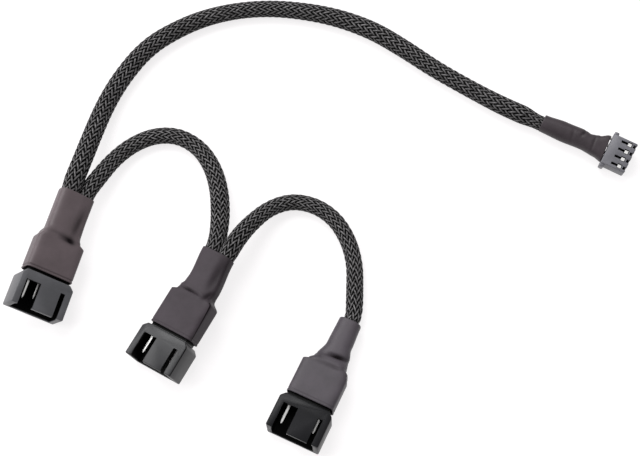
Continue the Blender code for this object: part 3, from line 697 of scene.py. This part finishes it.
# %% [markdown]
# ## Heat shrink boots
#
# Heat shrink tube is a thin skin that takes the shape of what is under it. Over the housing it is a flat
# box with soft corners. Behind the housing it steps in, and round the sleeves it is an oval with a valley
# where two sleeves lie side by side. One formula gives all of these: a superellipse whose exponent falls
# from the box to the oval. The skin runs down the outside, round a thin lip, and back up the inside, so
# the mesh is a closed ring with a real wall.

# %% Places in a connector's own frame
LINE_CORE = 0.00010
LINE_EDGE = 0.00018


def own_axes(tree, connector):
    """Where a shading point lies in its connector's frame: (point - mouth) times each of its axes."""
    place = node(tree, "ShaderNodeTexCoord").outputs["Object"]
    from_mouth = node(
        tree,
        "ShaderNodeVectorMath",
        {"operation": "SUBTRACT"},
        slot0=place,
        slot1=CONNECTORS[connector][0],
    ).outputs["Vector"]
    turn = turn_of(connector)
    return [
        node(
            tree,
            "ShaderNodeVectorMath",
            {"operation": "DOT_PRODUCT"},
            slot0=from_mouth,
            slot1=tuple(turn[:, axis]),
        ).outputs["Value"]
        for axis in range(3)
    ]


def painted_shade_line(tree, connector, front, back, reach):
    """1 on a painted dark line of shade, 0.3 mm wide, on a right side, from front to back (both y, z), where
    x is past reach.
    """
    x, y, z = own_axes(tree, connector)
    slope = (back[1] - front[1]) / (back[0] - front[0])
    aside = math_node(tree, "SUBTRACT", z, math_node(tree, "MULTIPLY", y, slope))
    aside = math_node(tree, "SUBTRACT", aside, front[1] - slope * front[0])
    share = ramp(tree, math_node(tree, "ABSOLUTE", aside), 1.0, 0.0, LINE_CORE, LINE_EDGE)
    return math_node(tree, "MULTIPLY", share, math_node(tree, "GREATER_THAN", x, reach))


# %% [markdown]
# The skin is grey brown and matt, in two close tones that drift into each other. The bottom of a fold gets
# hardly any light, and a node material can't tell how deep a point lies. So each boot carries a value that
# says it, and the material paints shade by that value: painted shade, darker and less shiny deep in a fold.

# %% A grey brown skin
FOLD_SHADE_COLOUR = (0.004, 0.002, 0.003)


def heat_shrink(name, dark, light, gloss, line=None):
    """Grey brown skin: two close tones, with painted shade where the piece's own "fold" value is high, and
    soft waves.

    A line, where it is given, holds the connector, the ends of a painted dark line of shade and the x that it
    starts at.
    """
    material, tree, shader = new_material(name)
    place = node(tree, "ShaderNodeTexCoord").outputs["Object"]
    fold = node(tree, "ShaderNodeAttribute", {"attribute_name": "fold"}).outputs["Fac"]
    if line is not None:
        fold = math_node(tree, "MAXIMUM", fold, painted_shade_line(tree, *line))
    cloudy = noise(tree, place, 160.0, 4.0, 0.6)
    grain = noise(tree, place, 9000.0, 2.0, 0.6)
    plain = mixed_colour(tree, ramp(tree, cloudy, 0.0, 1.0, 0.35, 0.65), dark, light)
    # Painted shade in the folds: the base colour goes dark and the reflection falls with the fold value.
    tree.links.new(mixed_colour(tree, fold, plain, FOLD_SHADE_COLOUR), shader.inputs["Base Color"])
    tree.links.new(ramp(tree, cloudy, 0.42, 0.56), shader.inputs["Roughness"])
    tree.links.new(ramp(tree, fold, gloss, 0.1), shader.inputs["Specular IOR Level"])
    waves = noise(tree, place, 700.0, 2.0, 0.5)
    soft_waves = bumped(tree, waves, 0.00003, 0.5)
    tree.links.new(bumped(tree, grain, 0.000006, 0.5, soft_waves), shader.inputs["Normal"])
    return material


# Painted shade: a dark line along the right edge of port 2's boot.
BOOT_2_SHADE_LINE = ("fan_port_2", (0.00976, 0.00194), (0.01869, 0.00246), 0.0050)
# The three port boots are one heat shrink. Their different tones and gloss are painted light: lit and shaded
# copies, set for how the light falls on each boot.
port_skins = (
    heat_shrink("port_1_skin", (0.084, 0.063, 0.069), (0.106, 0.080, 0.088), 0.5),
    heat_shrink("port_2_skin", (0.042, 0.034, 0.040), (0.056, 0.046, 0.054), 0.15, BOOT_2_SHADE_LINE),
    heat_shrink("port_3_skin", (0.048, 0.041, 0.049), (0.066, 0.056, 0.067), 0.35),
)
plug_skin = heat_shrink("plug_skin", (0.026, 0.019, 0.023), (0.044, 0.034, 0.040), 0.35)
print("materials:", [skin.name for skin in port_skins], plug_skin.name)

# %% [markdown]
# The folds are read off the photograph one by one. A fold is a shallow trough: a depth times a bell curve
# across it, times a bell curve along it. Its line may be turned. Depths are a few tenths of a millimetre.


# %% Shape of a boot
SKIN_WALL = 0.0004
BOOT_COLUMNS = 112
BOOT_ROWS = 150
FOLD_FULL_DEPTH = 0.00055
LIP_STEPS = 4
VALLEY_WIDTH = 0.0011
SLANT_REACH = 0.0012
SMALL_STEP = 0.00005


def trough(x, y, middle, turn_deg, length, width, depth):
    """Minus depth * exp(-(p/length)^2) * exp(-(q/width)^2), with p along the fold and q across it."""
    turn = math.radians(turn_deg)
    p = (x - middle[0]) * math.cos(turn) + (y - middle[1]) * math.sin(turn)
    q = (y - middle[1]) * math.cos(turn) - (x - middle[0]) * math.sin(turn)
    return -depth * np.exp(-((p / length) ** 2) - (q / width) ** 2)


def skin_section(around, half_width, half_height, power):
    """A superellipse: x = a |cos|^(2/n) with the sign of cos, z = b |sin|^(2/n) with the sign of sin."""
    cosine = np.cos(around)
    sine = np.sin(around)
    x = half_width * np.sign(cosine) * np.abs(cosine) ** (2.0 / power)
    z = half_height * np.sign(sine) * np.abs(sine) ** (2.0 / power)
    return x, z


def wall_profile(start, end, wall):
    """Rows of one closed wall: down the outside, round the lip, up the inside, round the other lip.

    Gives each row's place along the boot and its depth under the outer surface.
    """
    even = np.linspace(0.0, 1.0, BOOT_ROWS)
    lip = np.pi * (np.arange(LIP_STEPS) + 1) / (LIP_STEPS + 1)
    radius = wall / 2
    outside = start + radius + (end - start - wall) * even
    rows = np.concatenate([
        outside,
        end - radius + radius * np.sin(lip),
        outside[::-1],
        start + radius - radius * np.sin(lip),
    ])
    depth = np.concatenate([
        np.zeros(BOOT_ROWS),
        radius * (1 - np.cos(lip)),
        np.full(BOOT_ROWS, wall),
        radius * (1 + np.cos(lip)),
    ])
    return rows, depth


def shrink_boot(name, connector, solid, start, end, shape, folds, material, slant=0.0):
    """A closed skin: outer surface + normal * (fold height - depth), on the table where its connector lies.

    A slant moves the front rim along by slant * x, and less and less behind it.
    """
    rows, depth = wall_profile(start, end, SKIN_WALL)
    around = 2 * np.pi * (np.arange(BOOT_COLUMNS) + 0.5) / BOOT_COLUMNS
    rows, angle = np.meshgrid(rows, around, indexing="ij")

    def plain_skin(y):
        """The surface without folds: the section at y, pressed in by the valley, moved to its middle."""
        middle, half_width, half_height, power, valley, valley_place = shape(y)
        x, z = skin_section(angle, half_width, half_height, power)
        z = z * (1 - valley * np.exp(-(((x - valley_place) / VALLEY_WIDTH) ** 2)))
        return np.stack([x + middle, y, z], axis=-1)

    surface = plain_skin(rows)
    x, y, z = np.moveaxis(surface, -1, 0)
    round_way = np.roll(surface, -1, axis=1) - np.roll(surface, 1, axis=1)
    long_way = plain_skin(rows + SMALL_STEP) - surface
    outward = unit(np.cross(long_way, round_way))
    height = folds(x, y, z)
    skin = surface + outward * (height - depth[:, None])[..., None]
    skin[..., 1] += slant * x * np.exp((start - y) / SLANT_REACH)
    faces = grid_faces(len(rows), BOOT_COLUMNS, close_rows=True)[:, ::-1]
    piece = new_piece(name, to_table(connector, skin), [faces], [material])
    # Painted shade: the deeper a point lies in a fold, the darker its colour.
    shade = np.clip(-height / FOLD_FULL_DEPTH, 0.0, 1.0)
    piece.data.attributes.new("fold", "FLOAT", "POINT").data.foreach_set("value", shade.ravel())
    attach(piece, "root")
    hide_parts(solid)
    return piece


# %% [markdown]
# The three port boots share their lengths and heights. The boots with two sleeves have a wide neck and a
# valley between the sleeves, and the last one narrows more slowly to a single neck.

# %% Boots of the fan ports
PORT_BOOT_START = 0.0095
FLAT_HALF_WIDTH = 0.00591
FLAT_HALF_HEIGHT = 0.0030
SHOULDER_PLACE = 0.0186
SHOULDER_FALL = 0.0034
NECK_HALF_HEIGHT = 0.00235
BOX_POWER = 7.0
BOX_END = 0.0180
VALLEY_START = 0.0200
VALLEY_GROWTH = 0.0050
LIP_SWELL = 0.00003
LIP_PLACE = 0.00015
LIP_WIDTH = 0.00028
LEFT_EDGES = (
    (
        (0.0090, -FLAT_HALF_WIDTH), (0.0176, -FLAT_HALF_WIDTH), (0.0194, -0.00510), (0.0209, -0.00450),
        (0.0313, -0.00450),
    ),
    (
        (0.0090, -FLAT_HALF_WIDTH), (0.0187, -FLAT_HALF_WIDTH), (0.0194, -0.00475), (0.0201, -0.00470),
        (0.0208, -0.00480), (0.0218, -0.00440), (0.0236, -0.00425), (0.0313, -0.00510),
    ),
    (
        (0.0090, -FLAT_HALF_WIDTH), (0.0182, -FLAT_HALF_WIDTH), (0.0188, -0.00475), (0.0200, -0.00390),
        (0.0245, -0.00260), (0.0313, -0.00245),
    ),
)
RIGHT_EDGES = (
    (
        (0.0090, FLAT_HALF_WIDTH), (0.0182, FLAT_HALF_WIDTH), (0.0192, 0.00470), (0.0204, 0.00435),
        (0.0250, 0.00425), (0.0313, 0.00430),
    ),
    (
        (0.0090, FLAT_HALF_WIDTH), (0.0188, FLAT_HALF_WIDTH), (0.0205, 0.00440), (0.0222, 0.00445),
        (0.0313, 0.00335),
    ),
    (
        (0.0090, FLAT_HALF_WIDTH), (0.0170, FLAT_HALF_WIDTH), (0.0184, 0.00550), (0.0197, 0.00450),
        (0.0224, 0.00410), (0.0252, 0.00340), (0.0313, 0.00310),
    ),
)
NECK_VALLEYS = ((0.08, 0.0024), (0.08, 0.0028), (0.0, 0.0))
NECK_POWERS = (4.2, 3.6, 2.7)


def port_boot_shape(left_edge, right_edge, neck_valley, neck_power):
    """The section of a port's boot at y: middle, half width, half height, exponent, valley depth, valley x.

    Both edges ease from pair to pair of (y, x). The middle is their mean, and the half width half their
    difference. The lip stands out a little.
    """
    valley_depth, valley_place = neck_valley

    def shape(y):
        left = eased(left_edge, y)
        right = eased(right_edge, y)
        lip = LIP_SWELL * np.exp(-(((y - PORT_BOOT_START - LIP_PLACE) / LIP_WIDTH) ** 2))
        fall = smooth_step((y - SHOULDER_PLACE) / SHOULDER_FALL)
        half_height = FLAT_HALF_HEIGHT - (FLAT_HALF_HEIGHT - NECK_HALF_HEIGHT) * fall
        power = BOX_POWER - (BOX_POWER - neck_power) * smooth_step((y - BOX_END) / SHOULDER_FALL)
        valley = valley_depth * smooth_step((y - VALLEY_START) / VALLEY_GROWTH)
        return (left + right) / 2, (right - left) / 2 + lip, half_height + lip, power, valley, valley_place

    return shape


# %% [markdown]
# Each fold is a row of six numbers: the place of its middle, its turn, its half length, its half width
# and its depth. The folds only press in the upper side of a boot, and they are added up. Behind its lip,
# each port's boot has a thin groove that runs all round.

# %% Folds of the fan ports
UPPER_SIDE_BLEND = 0.0020
GROOVE_PLACE = 0.00062
GROOVE_WIDTH = 0.00013
GROOVE_DEPTHS = (0.00022, 0.00010, 0.00008)
PORT_FOLDS = (
    (
        ((0.0016, 0.0191), -10.0, 0.0016, 0.00080, 0.00066),
        ((-0.0018, 0.0197), 4.0, 0.0024, 0.00050, 0.00012),
        ((0.0024, 0.0240), 83.0, 0.0040, 0.00090, 0.00034),
    ),
    (
        ((-0.0009, 0.0201), -2.0, 0.0020, 0.00034, 0.00056),
        ((0.0036, 0.0208), 60.0, 0.0014, 0.00060, 0.00034),
        ((0.0028, 0.0268), 91.0, 0.0055, 0.00120, 0.00034),
    ),
    (
        ((0.0016, 0.0216), 7.0, 0.0023, 0.00048, 0.00064),
        ((0.0012, 0.0188), 5.0, 0.0030, 0.00055, 0.00026),
        ((-0.0030, 0.0206), -25.0, 0.0012, 0.00050, 0.00014),
    ),
)


def creased(folds, groove_depth):
    """The height of a skin: its troughs added up, on the upper side, less the groove behind its lip."""

    def height(x, y, z):
        creases = sum(trough(x, y, *fold) for fold in folds)
        upper_side = smooth_step(z / UPPER_SIDE_BLEND + 0.5)
        groove = groove_depth * np.exp(-(((y - PORT_BOOT_START - GROOVE_PLACE) / GROOVE_WIDTH) ** 2))
        return creases * upper_side - groove

    return height


for index, skin_material in enumerate(port_skins):
    port = f"fan_port_{index + 1}"
    shrink_boot(
        f"{port}_skin",
        port,
        f"{port}_boot",
        PORT_BOOT_START,
        PORT_BOOT_END,
        port_boot_shape(LEFT_EDGES[index], RIGHT_EDGES[index], NECK_VALLEYS[index], NECK_POWERS[index]),
        creased(PORT_FOLDS[index], GROOVE_DEPTHS[index]),
        skin_material,
    )

# %% [markdown]
# The plug's boot is smaller: flared where the four wires spread to the contacts, then an oval that drifts
# a little to one side.

# %% Boot of the board plug
PLUG_BOOT_START = 0.00664
PLUG_BOOT_SLANT = 0.05
PLUG_FRONT_HEIGHT = 0.0022
PLUG_FLARE = 0.0065
PLUG_BOX_POWER = 3.4
PLUG_NECK_POWER = 2.2
PLUG_FOLDS = (
    ((0.0, 0.0100), 4.0, 0.0030, 0.00040, 0.00012),
    ((0.0012, 0.0131), -18.0, 0.0012, 0.00045, 0.00030),
    ((-0.0010, 0.0155), 10.0, 0.0016, 0.00050, 0.00010),
)
PLUG_LEFT_EDGE = (
    (0.0060, -0.00360),
    (0.0086, -0.00300),
    (0.0120, -0.00275),
    (0.0182, -0.00310),
    (0.0237, -0.00300),
)
PLUG_RIGHT_EDGE = (
    (0.0060, 0.00375),
    (0.0070, 0.00345),
    (0.0094, 0.00235),
    (0.0115, 0.00185),
    (0.0129, 0.00222),
    (0.0180, 0.00200),
    (0.0237, 0.00140),
)


def plug_boot_shape(y):
    """The section of the plug's boot: two eased edges, a height that grows over the flare, and no valley."""
    left = eased(PLUG_LEFT_EDGE, y)
    right = eased(PLUG_RIGHT_EDGE, y)
    blend = smooth_step((y - PLUG_BOOT_START) / PLUG_FLARE)
    half_height = PLUG_FRONT_HEIGHT + (NECK_HALF_HEIGHT - PLUG_FRONT_HEIGHT) * blend
    power = PLUG_BOX_POWER - (PLUG_BOX_POWER - PLUG_NECK_POWER) * blend
    return (left + right) / 2, (right - left) / 2, half_height, power, 0.0, 0.0


shrink_boot(
    "board_plug_skin",
    "board_plug",
    "board_plug_boot",
    PLUG_BOOT_START,
    PLUG_BOOT_END,
    plug_boot_shape,
    creased(PLUG_FOLDS, 0.0),
    plug_skin,
    PLUG_BOOT_SLANT,
)

# %% [markdown]
# ## Housings
#
# The mouldings have the right shape as solids. A copy of each is merged, its flat faces are joined again,
# and a Bevel modifier rounds the edges of the windows and slots, which catch the light on the real thing.

# %% Moulded plastic
HOLLOW_SHADE_COLOUR = (0.0015, 0.0015, 0.0015)
HOLLOW_EDGE = 0.00025
REAR_EDGE = 0.0001


def moulded_plastic(name, connector, hollow, behind, dark, light, rough, gloss, line=None):
    """Nylon with a fine grain, and painted shade on the walls of its hollow and in the gap behind its wide
    front.

    The hollow is given as half its width, its floor and roof, and its front and back. The painted shade grows
    over
    HOLLOW_EDGE inside each of them. A line, where it is given, holds the
    connector, the ends of a painted dark line of shade and the x that it starts at.
    """
    material, tree, shader = new_material(name)
    place = node(tree, "ShaderNodeTexCoord").outputs["Object"]
    broad = noise(tree, place, 220.0, 3.0, 0.6)
    grain = noise(tree, place, 6500.0, 2.0, 0.6)
    tone = ramp(tree, broad, 0.0, 1.0, 0.3, 0.7)
    x, y, z = own_axes(tree, connector)
    half_width, floor, roof, front, back = hollow
    inside = math_node(tree, "SUBTRACT", half_width, math_node(tree, "ABSOLUTE", x))
    inside = math_node(tree, "MINIMUM", inside, math_node(tree, "SUBTRACT", z, floor))
    inside = math_node(tree, "MINIMUM", inside, math_node(tree, "SUBTRACT", roof, z))
    inside = math_node(tree, "MINIMUM", inside, math_node(tree, "SUBTRACT", y, front))
    inside = math_node(tree, "MINIMUM", inside, math_node(tree, "SUBTRACT", back, y))
    # Painted shade: near black, with little reflection, on the walls of the hollow and in the gap behind the
    # front.
    share = ramp(tree, inside, 0.0, 1.0, 0.0, HOLLOW_EDGE)
    share = math_node(tree, "MAXIMUM", share, ramp(tree, y, 0.0, 1.0, behind, behind + REAR_EDGE))
    if line is not None:
        share = math_node(tree, "MAXIMUM", share, painted_shade_line(tree, *line))
    outside_colour = mixed_colour(tree, tone, dark, light)
    colour = mixed_colour(tree, share, outside_colour, HOLLOW_SHADE_COLOUR)
    tree.links.new(colour, shader.inputs["Base Color"])
    tree.links.new(ramp(tree, broad, rough, rough + 0.1, 0.3, 0.7), shader.inputs["Roughness"])
    tree.links.new(ramp(tree, share, gloss, 0.06), shader.inputs["Specular IOR Level"])
    tree.links.new(bumped(tree, grain, 0.000008, 0.5), shader.inputs["Normal"])
    return material


PORT_HOLLOW = (0.0056, -0.0030, 0.00342, 0.00008, 0.0080)
PLUG_HOLLOW = (0.0039, -0.0018, 0.00217, 0.00005, 0.0062)
SHROUD_BACK = 0.00885
PLUG_BACK = 0.0068
# Painted shade: a dark line along the right top edge of port 2's shroud.
SHROUD_2_SHADE_LINE = ("fan_port_2", (0.0, 0.00320), (0.0084, 0.00330), 0.0062)
# The three port housings are one plastic. Their different tones and gloss are painted light: lit and shaded
# copies, set for how the light falls on each housing.
port_1_plastic = moulded_plastic(
    "port_1_plastic",
    "fan_port_1",
    PORT_HOLLOW,
    SHROUD_BACK,
    dark=(0.056, 0.056, 0.063),
    light=(0.076, 0.076, 0.084),
    rough=0.40,
    gloss=0.7,
)
port_2_plastic = moulded_plastic(
    "port_2_plastic",
    "fan_port_2",
    PORT_HOLLOW,
    SHROUD_BACK,
    dark=(0.012, 0.012, 0.014),
    light=(0.020, 0.020, 0.023),
    rough=0.38,
    gloss=0.5,
    line=SHROUD_2_SHADE_LINE,
)
port_3_plastic = moulded_plastic(
    "port_3_plastic",
    "fan_port_3",
    PORT_HOLLOW,
    SHROUD_BACK,
    dark=(0.005, 0.005, 0.006),
    light=(0.008, 0.008, 0.010),
    rough=0.34,
    gloss=0.2,
)
plug_plastic = moulded_plastic(
    "plug_plastic",
    "board_plug",
    PLUG_HOLLOW,
    PLUG_BACK,
    dark=(0.108, 0.106, 0.122),
    light=(0.132, 0.130, 0.148),
    rough=0.38,
    gloss=0.7,
)
print("plastics:", port_1_plastic.name, port_2_plastic.name, port_3_plastic.name, plug_plastic.name)

# %% [markdown]
# The angle limit keeps the bevel to real edges, and not to the small steps of a round wall. The flat faces
# keep their normals, so they stay flat to the eye.

# %% Soft edged shells
PLASTIC_BEVEL = 0.00010
MERGE_DISTANCE = 1e-6
FLAT_ANGLE = math.radians(1)
EDGE_ANGLE = math.radians(50)


def soft_edged(name, solid, material, rounding):
    """A merged copy of a solid's mesh with its coplanar faces joined and its edges rounded."""
    shell_mesh = bmesh.new()
    shell_mesh.from_mesh(nodes[solid].data)
    bmesh.ops.remove_doubles(shell_mesh, verts=shell_mesh.verts, dist=MERGE_DISTANCE)
    bmesh.ops.dissolve_limit(
        shell_mesh,
        angle_limit=FLAT_ANGLE,
        verts=shell_mesh.verts,
        edges=shell_mesh.edges,
    )
    mesh = bpy.data.meshes.new(name)
    shell_mesh.to_mesh(mesh)
    shell_mesh.free()
    mesh.materials.clear()
    mesh.materials.append(material)
    mesh.shade_smooth()
    piece = bpy.data.objects.new(name, mesh)
    bpy.context.scene.collection.objects.link(piece)
    bevel = piece.modifiers.new("soft edges", "BEVEL")
    bevel.width = rounding
    bevel.segments = 2
    bevel.limit_method = "ANGLE"
    bevel.angle_limit = EDGE_ANGLE
    bevel.harden_normals = True
    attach(piece, "root")
    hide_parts(solid)
    print(name, "faces before the bevel:", len(mesh.polygons))
    return piece


for shell, solid, material, slot in (
    ("fan_port_1_shell", "fan_port_1_housing", port_1_plastic, "port_plastic"),
    ("fan_port_2_shell", "fan_port_2_housing", port_2_plastic, "port_plastic"),
    ("fan_port_3_shell", "fan_port_3_housing", port_3_plastic, "port_plastic"),
    ("board_plug_shell", "board_plug_housing", plug_plastic, "plug_plastic"),
):
    soft_edged(shell, solid, material, PLASTIC_BEVEL)

# %% [markdown]
# ## Metal and wires
#
# Pins and contacts are tinned metal with fine scratches. The pins get rounder edges, and their colour is
# bright
# only on faces that look upwards: a painted highlight there and painted shade on their sides. The contacts of
# the small plug keep their solids: their tangs, which stand in the latch openings, and the two barrels at its
# upper end are painted bright, and the rest is painted near black, painted shade. The wires in the boots get
# dark insulation.

# %% Tinned metal and wire insulation
PIN_BEVEL = 0.00013
TIN_DARK = (0.92, 0.91, 0.90)
TIN_LIGHT = (0.98, 0.97, 0.96)
UNLIT_METAL = (0.004, 0.004, 0.004)
TANG_FLOOR = 0.0012
BARREL_START = 0.0060
UPWARD_LEAST = 0.72
UPWARD_MOST = 0.82


def tinned(name):
    """Tinned metal, shinier and duller from place to place, with fine scratches, and its bright colour."""
    material, tree, shader = new_material(name)
    place = node(tree, "ShaderNodeTexCoord").outputs["Object"]
    marks = noise(tree, place, 3500.0, 3.0, 0.7)
    bright = mixed_colour(tree, marks, TIN_DARK, TIN_LIGHT)
    tree.links.new(ramp(tree, marks, 0.30, 0.50), shader.inputs["Roughness"])
    shader.inputs["Metallic"].default_value = 1.0
    tree.links.new(bumped(tree, marks, 0.000004, 0.5), shader.inputs["Normal"])
    return material, tree, shader, bright


def shown_where(tree, shader, bright, share):
    """Keeps the bright metal where the share is 1, and paints it nearly black, painted shade, where it is 0.
    """
    tree.links.new(mixed_colour(tree, share, UNLIT_METAL, bright), shader.inputs["Base Color"])


pin_metal, tree, shader, bright = tinned("pin_metal")
# Painted highlight on faces that look upwards, painted shade on the others.
normal = node(tree, "ShaderNodeNewGeometry").outputs["Normal"]
upward = node(tree, "ShaderNodeSeparateXYZ", Vector=normal).outputs["Z"]
shown_where(tree, shader, bright, ramp(tree, upward, 0.0, 1.0, UPWARD_LEAST, UPWARD_MOST))

contact_metal, tree, shader, bright = tinned("contact_metal")
# Painted light: bright tangs and upper barrels as painted glints, and painted shade on the rest of the
# contact.
x, y, z = own_axes(tree, "board_plug")
tang = math_node(tree, "GREATER_THAN", z, TANG_FLOOR)
rear = math_node(tree, "GREATER_THAN", y, BARREL_START)
upper_end = math_node(tree, "GREATER_THAN", x, 0.0)
barrel = math_node(tree, "MULTIPLY", rear, upper_end)
shown_where(tree, shader, bright, math_node(tree, "MAXIMUM", tang, barrel))

insulation, tree, shader = new_material("wire_insulation")
place = node(tree, "ShaderNodeTexCoord").outputs["Object"]
dull = noise(tree, place, 1800.0, 2.0, 0.5)
wire_tone = mixed_colour(tree, dull, (0.014, 0.014, 0.015), (0.026, 0.026, 0.027))
tree.links.new(wire_tone, shader.inputs["Base Color"])
tree.links.new(ramp(tree, dull, 0.38, 0.55), shader.inputs["Roughness"])

for solid_name, solid in nodes.items():
    if "_pin_" in solid_name:
        soft_edged(f"{solid_name}_tinned", solid_name, pin_metal, PIN_BEVEL)
    elif "_contact_" in solid_name or "_wire_" in solid_name:
        solid.data.materials.clear()
        solid.data.materials.append(contact_metal if "_contact_" in solid_name else insulation)
print("finishes:", pin_metal.name, contact_metal.name, insulation.name)

# %% [markdown]
# ## Table and light
#
# The object lies on a white surface under a wide, soft light. The table is pale and takes the shadows,
# and for the camera and for reflections it also gives out a little light of its own, so that it reaches
# white where no shadow falls. The lamps stay at a plain level.

# %% Table
TABLE_SIZE = 3.0
TABLE_GLOW = 0.77

table_surface, tree, shader = new_material("table_surface")
place = node(tree, "ShaderNodeTexCoord").outputs["Object"]
faint = noise(tree, place, 30.0, 2.0, 0.5)
table_tone = mixed_colour(tree, faint, (0.31, 0.304, 0.307), (0.33, 0.324, 0.327))
tree.links.new(table_tone, shader.inputs["Base Color"])
shader.inputs["Roughness"].default_value = 0.9
shader.inputs["Specular IOR Level"].default_value = 0.0
ray = node(tree, "ShaderNodeLightPath")
seen = math_node(tree, "MAXIMUM", ray.outputs["Is Camera Ray"], ray.outputs["Is Glossy Ray"])
lift = math_node(tree, "MULTIPLY", seen, TABLE_GLOW)
shader.inputs["Emission Color"].default_value = (1.0, 0.985, 0.99, 1.0)
tree.links.new(lift, shader.inputs["Emission Strength"])

table_mesh = bpy.data.meshes.new("table_top")
reach = TABLE_SIZE / 2
table_mesh.from_pydata(
    [(-reach, -reach, 0.0), (reach, -reach, 0.0), (reach, reach, 0.0), (-reach, reach, 0.0)],
    [],
    [(0, 1, 2, 3)],
)
table_mesh.materials.append(table_surface)
table_top = bpy.data.objects.new("table_top", table_mesh)
bpy.context.scene.collection.objects.link(table_top)
print("table:", TABLE_SIZE, "m")

# %% [markdown]
# One softbox stands behind the object and above it, a second one lower on the left, in an even white
# room.

# %% Lamps and room
ROOM_STRENGTH = 0.54


def softbox(name, place, size, power):
    """A square area light that looks at the object."""
    data = bpy.data.lights.new(name, "AREA")
    data.shape = "SQUARE"
    data.size = size
    data.energy = power
    lamp = bpy.data.objects.new(name, data)
    lamp.location = place
    lamp.rotation_euler = (-Vector(place)).to_track_quat("-Z", "Y").to_euler()
    bpy.context.scene.collection.objects.link(lamp)
    return lamp


softbox("key_light", (-0.25, 0.66, 0.95), 0.7, 8.5)
softbox("side_light", (-0.9, 0.15, 0.6), 0.8, 6.5)

world = bpy.data.worlds.new("room")
world.use_nodes = True
background = world.node_tree.nodes["Background"]
background.inputs["Color"].default_value = (1.0, 1.0, 1.0, 1.0)
background.inputs["Strength"].default_value = ROOM_STRENGTH
bpy.context.scene.world = world
bpy.context.scene.view_settings.view_transform = "Standard"
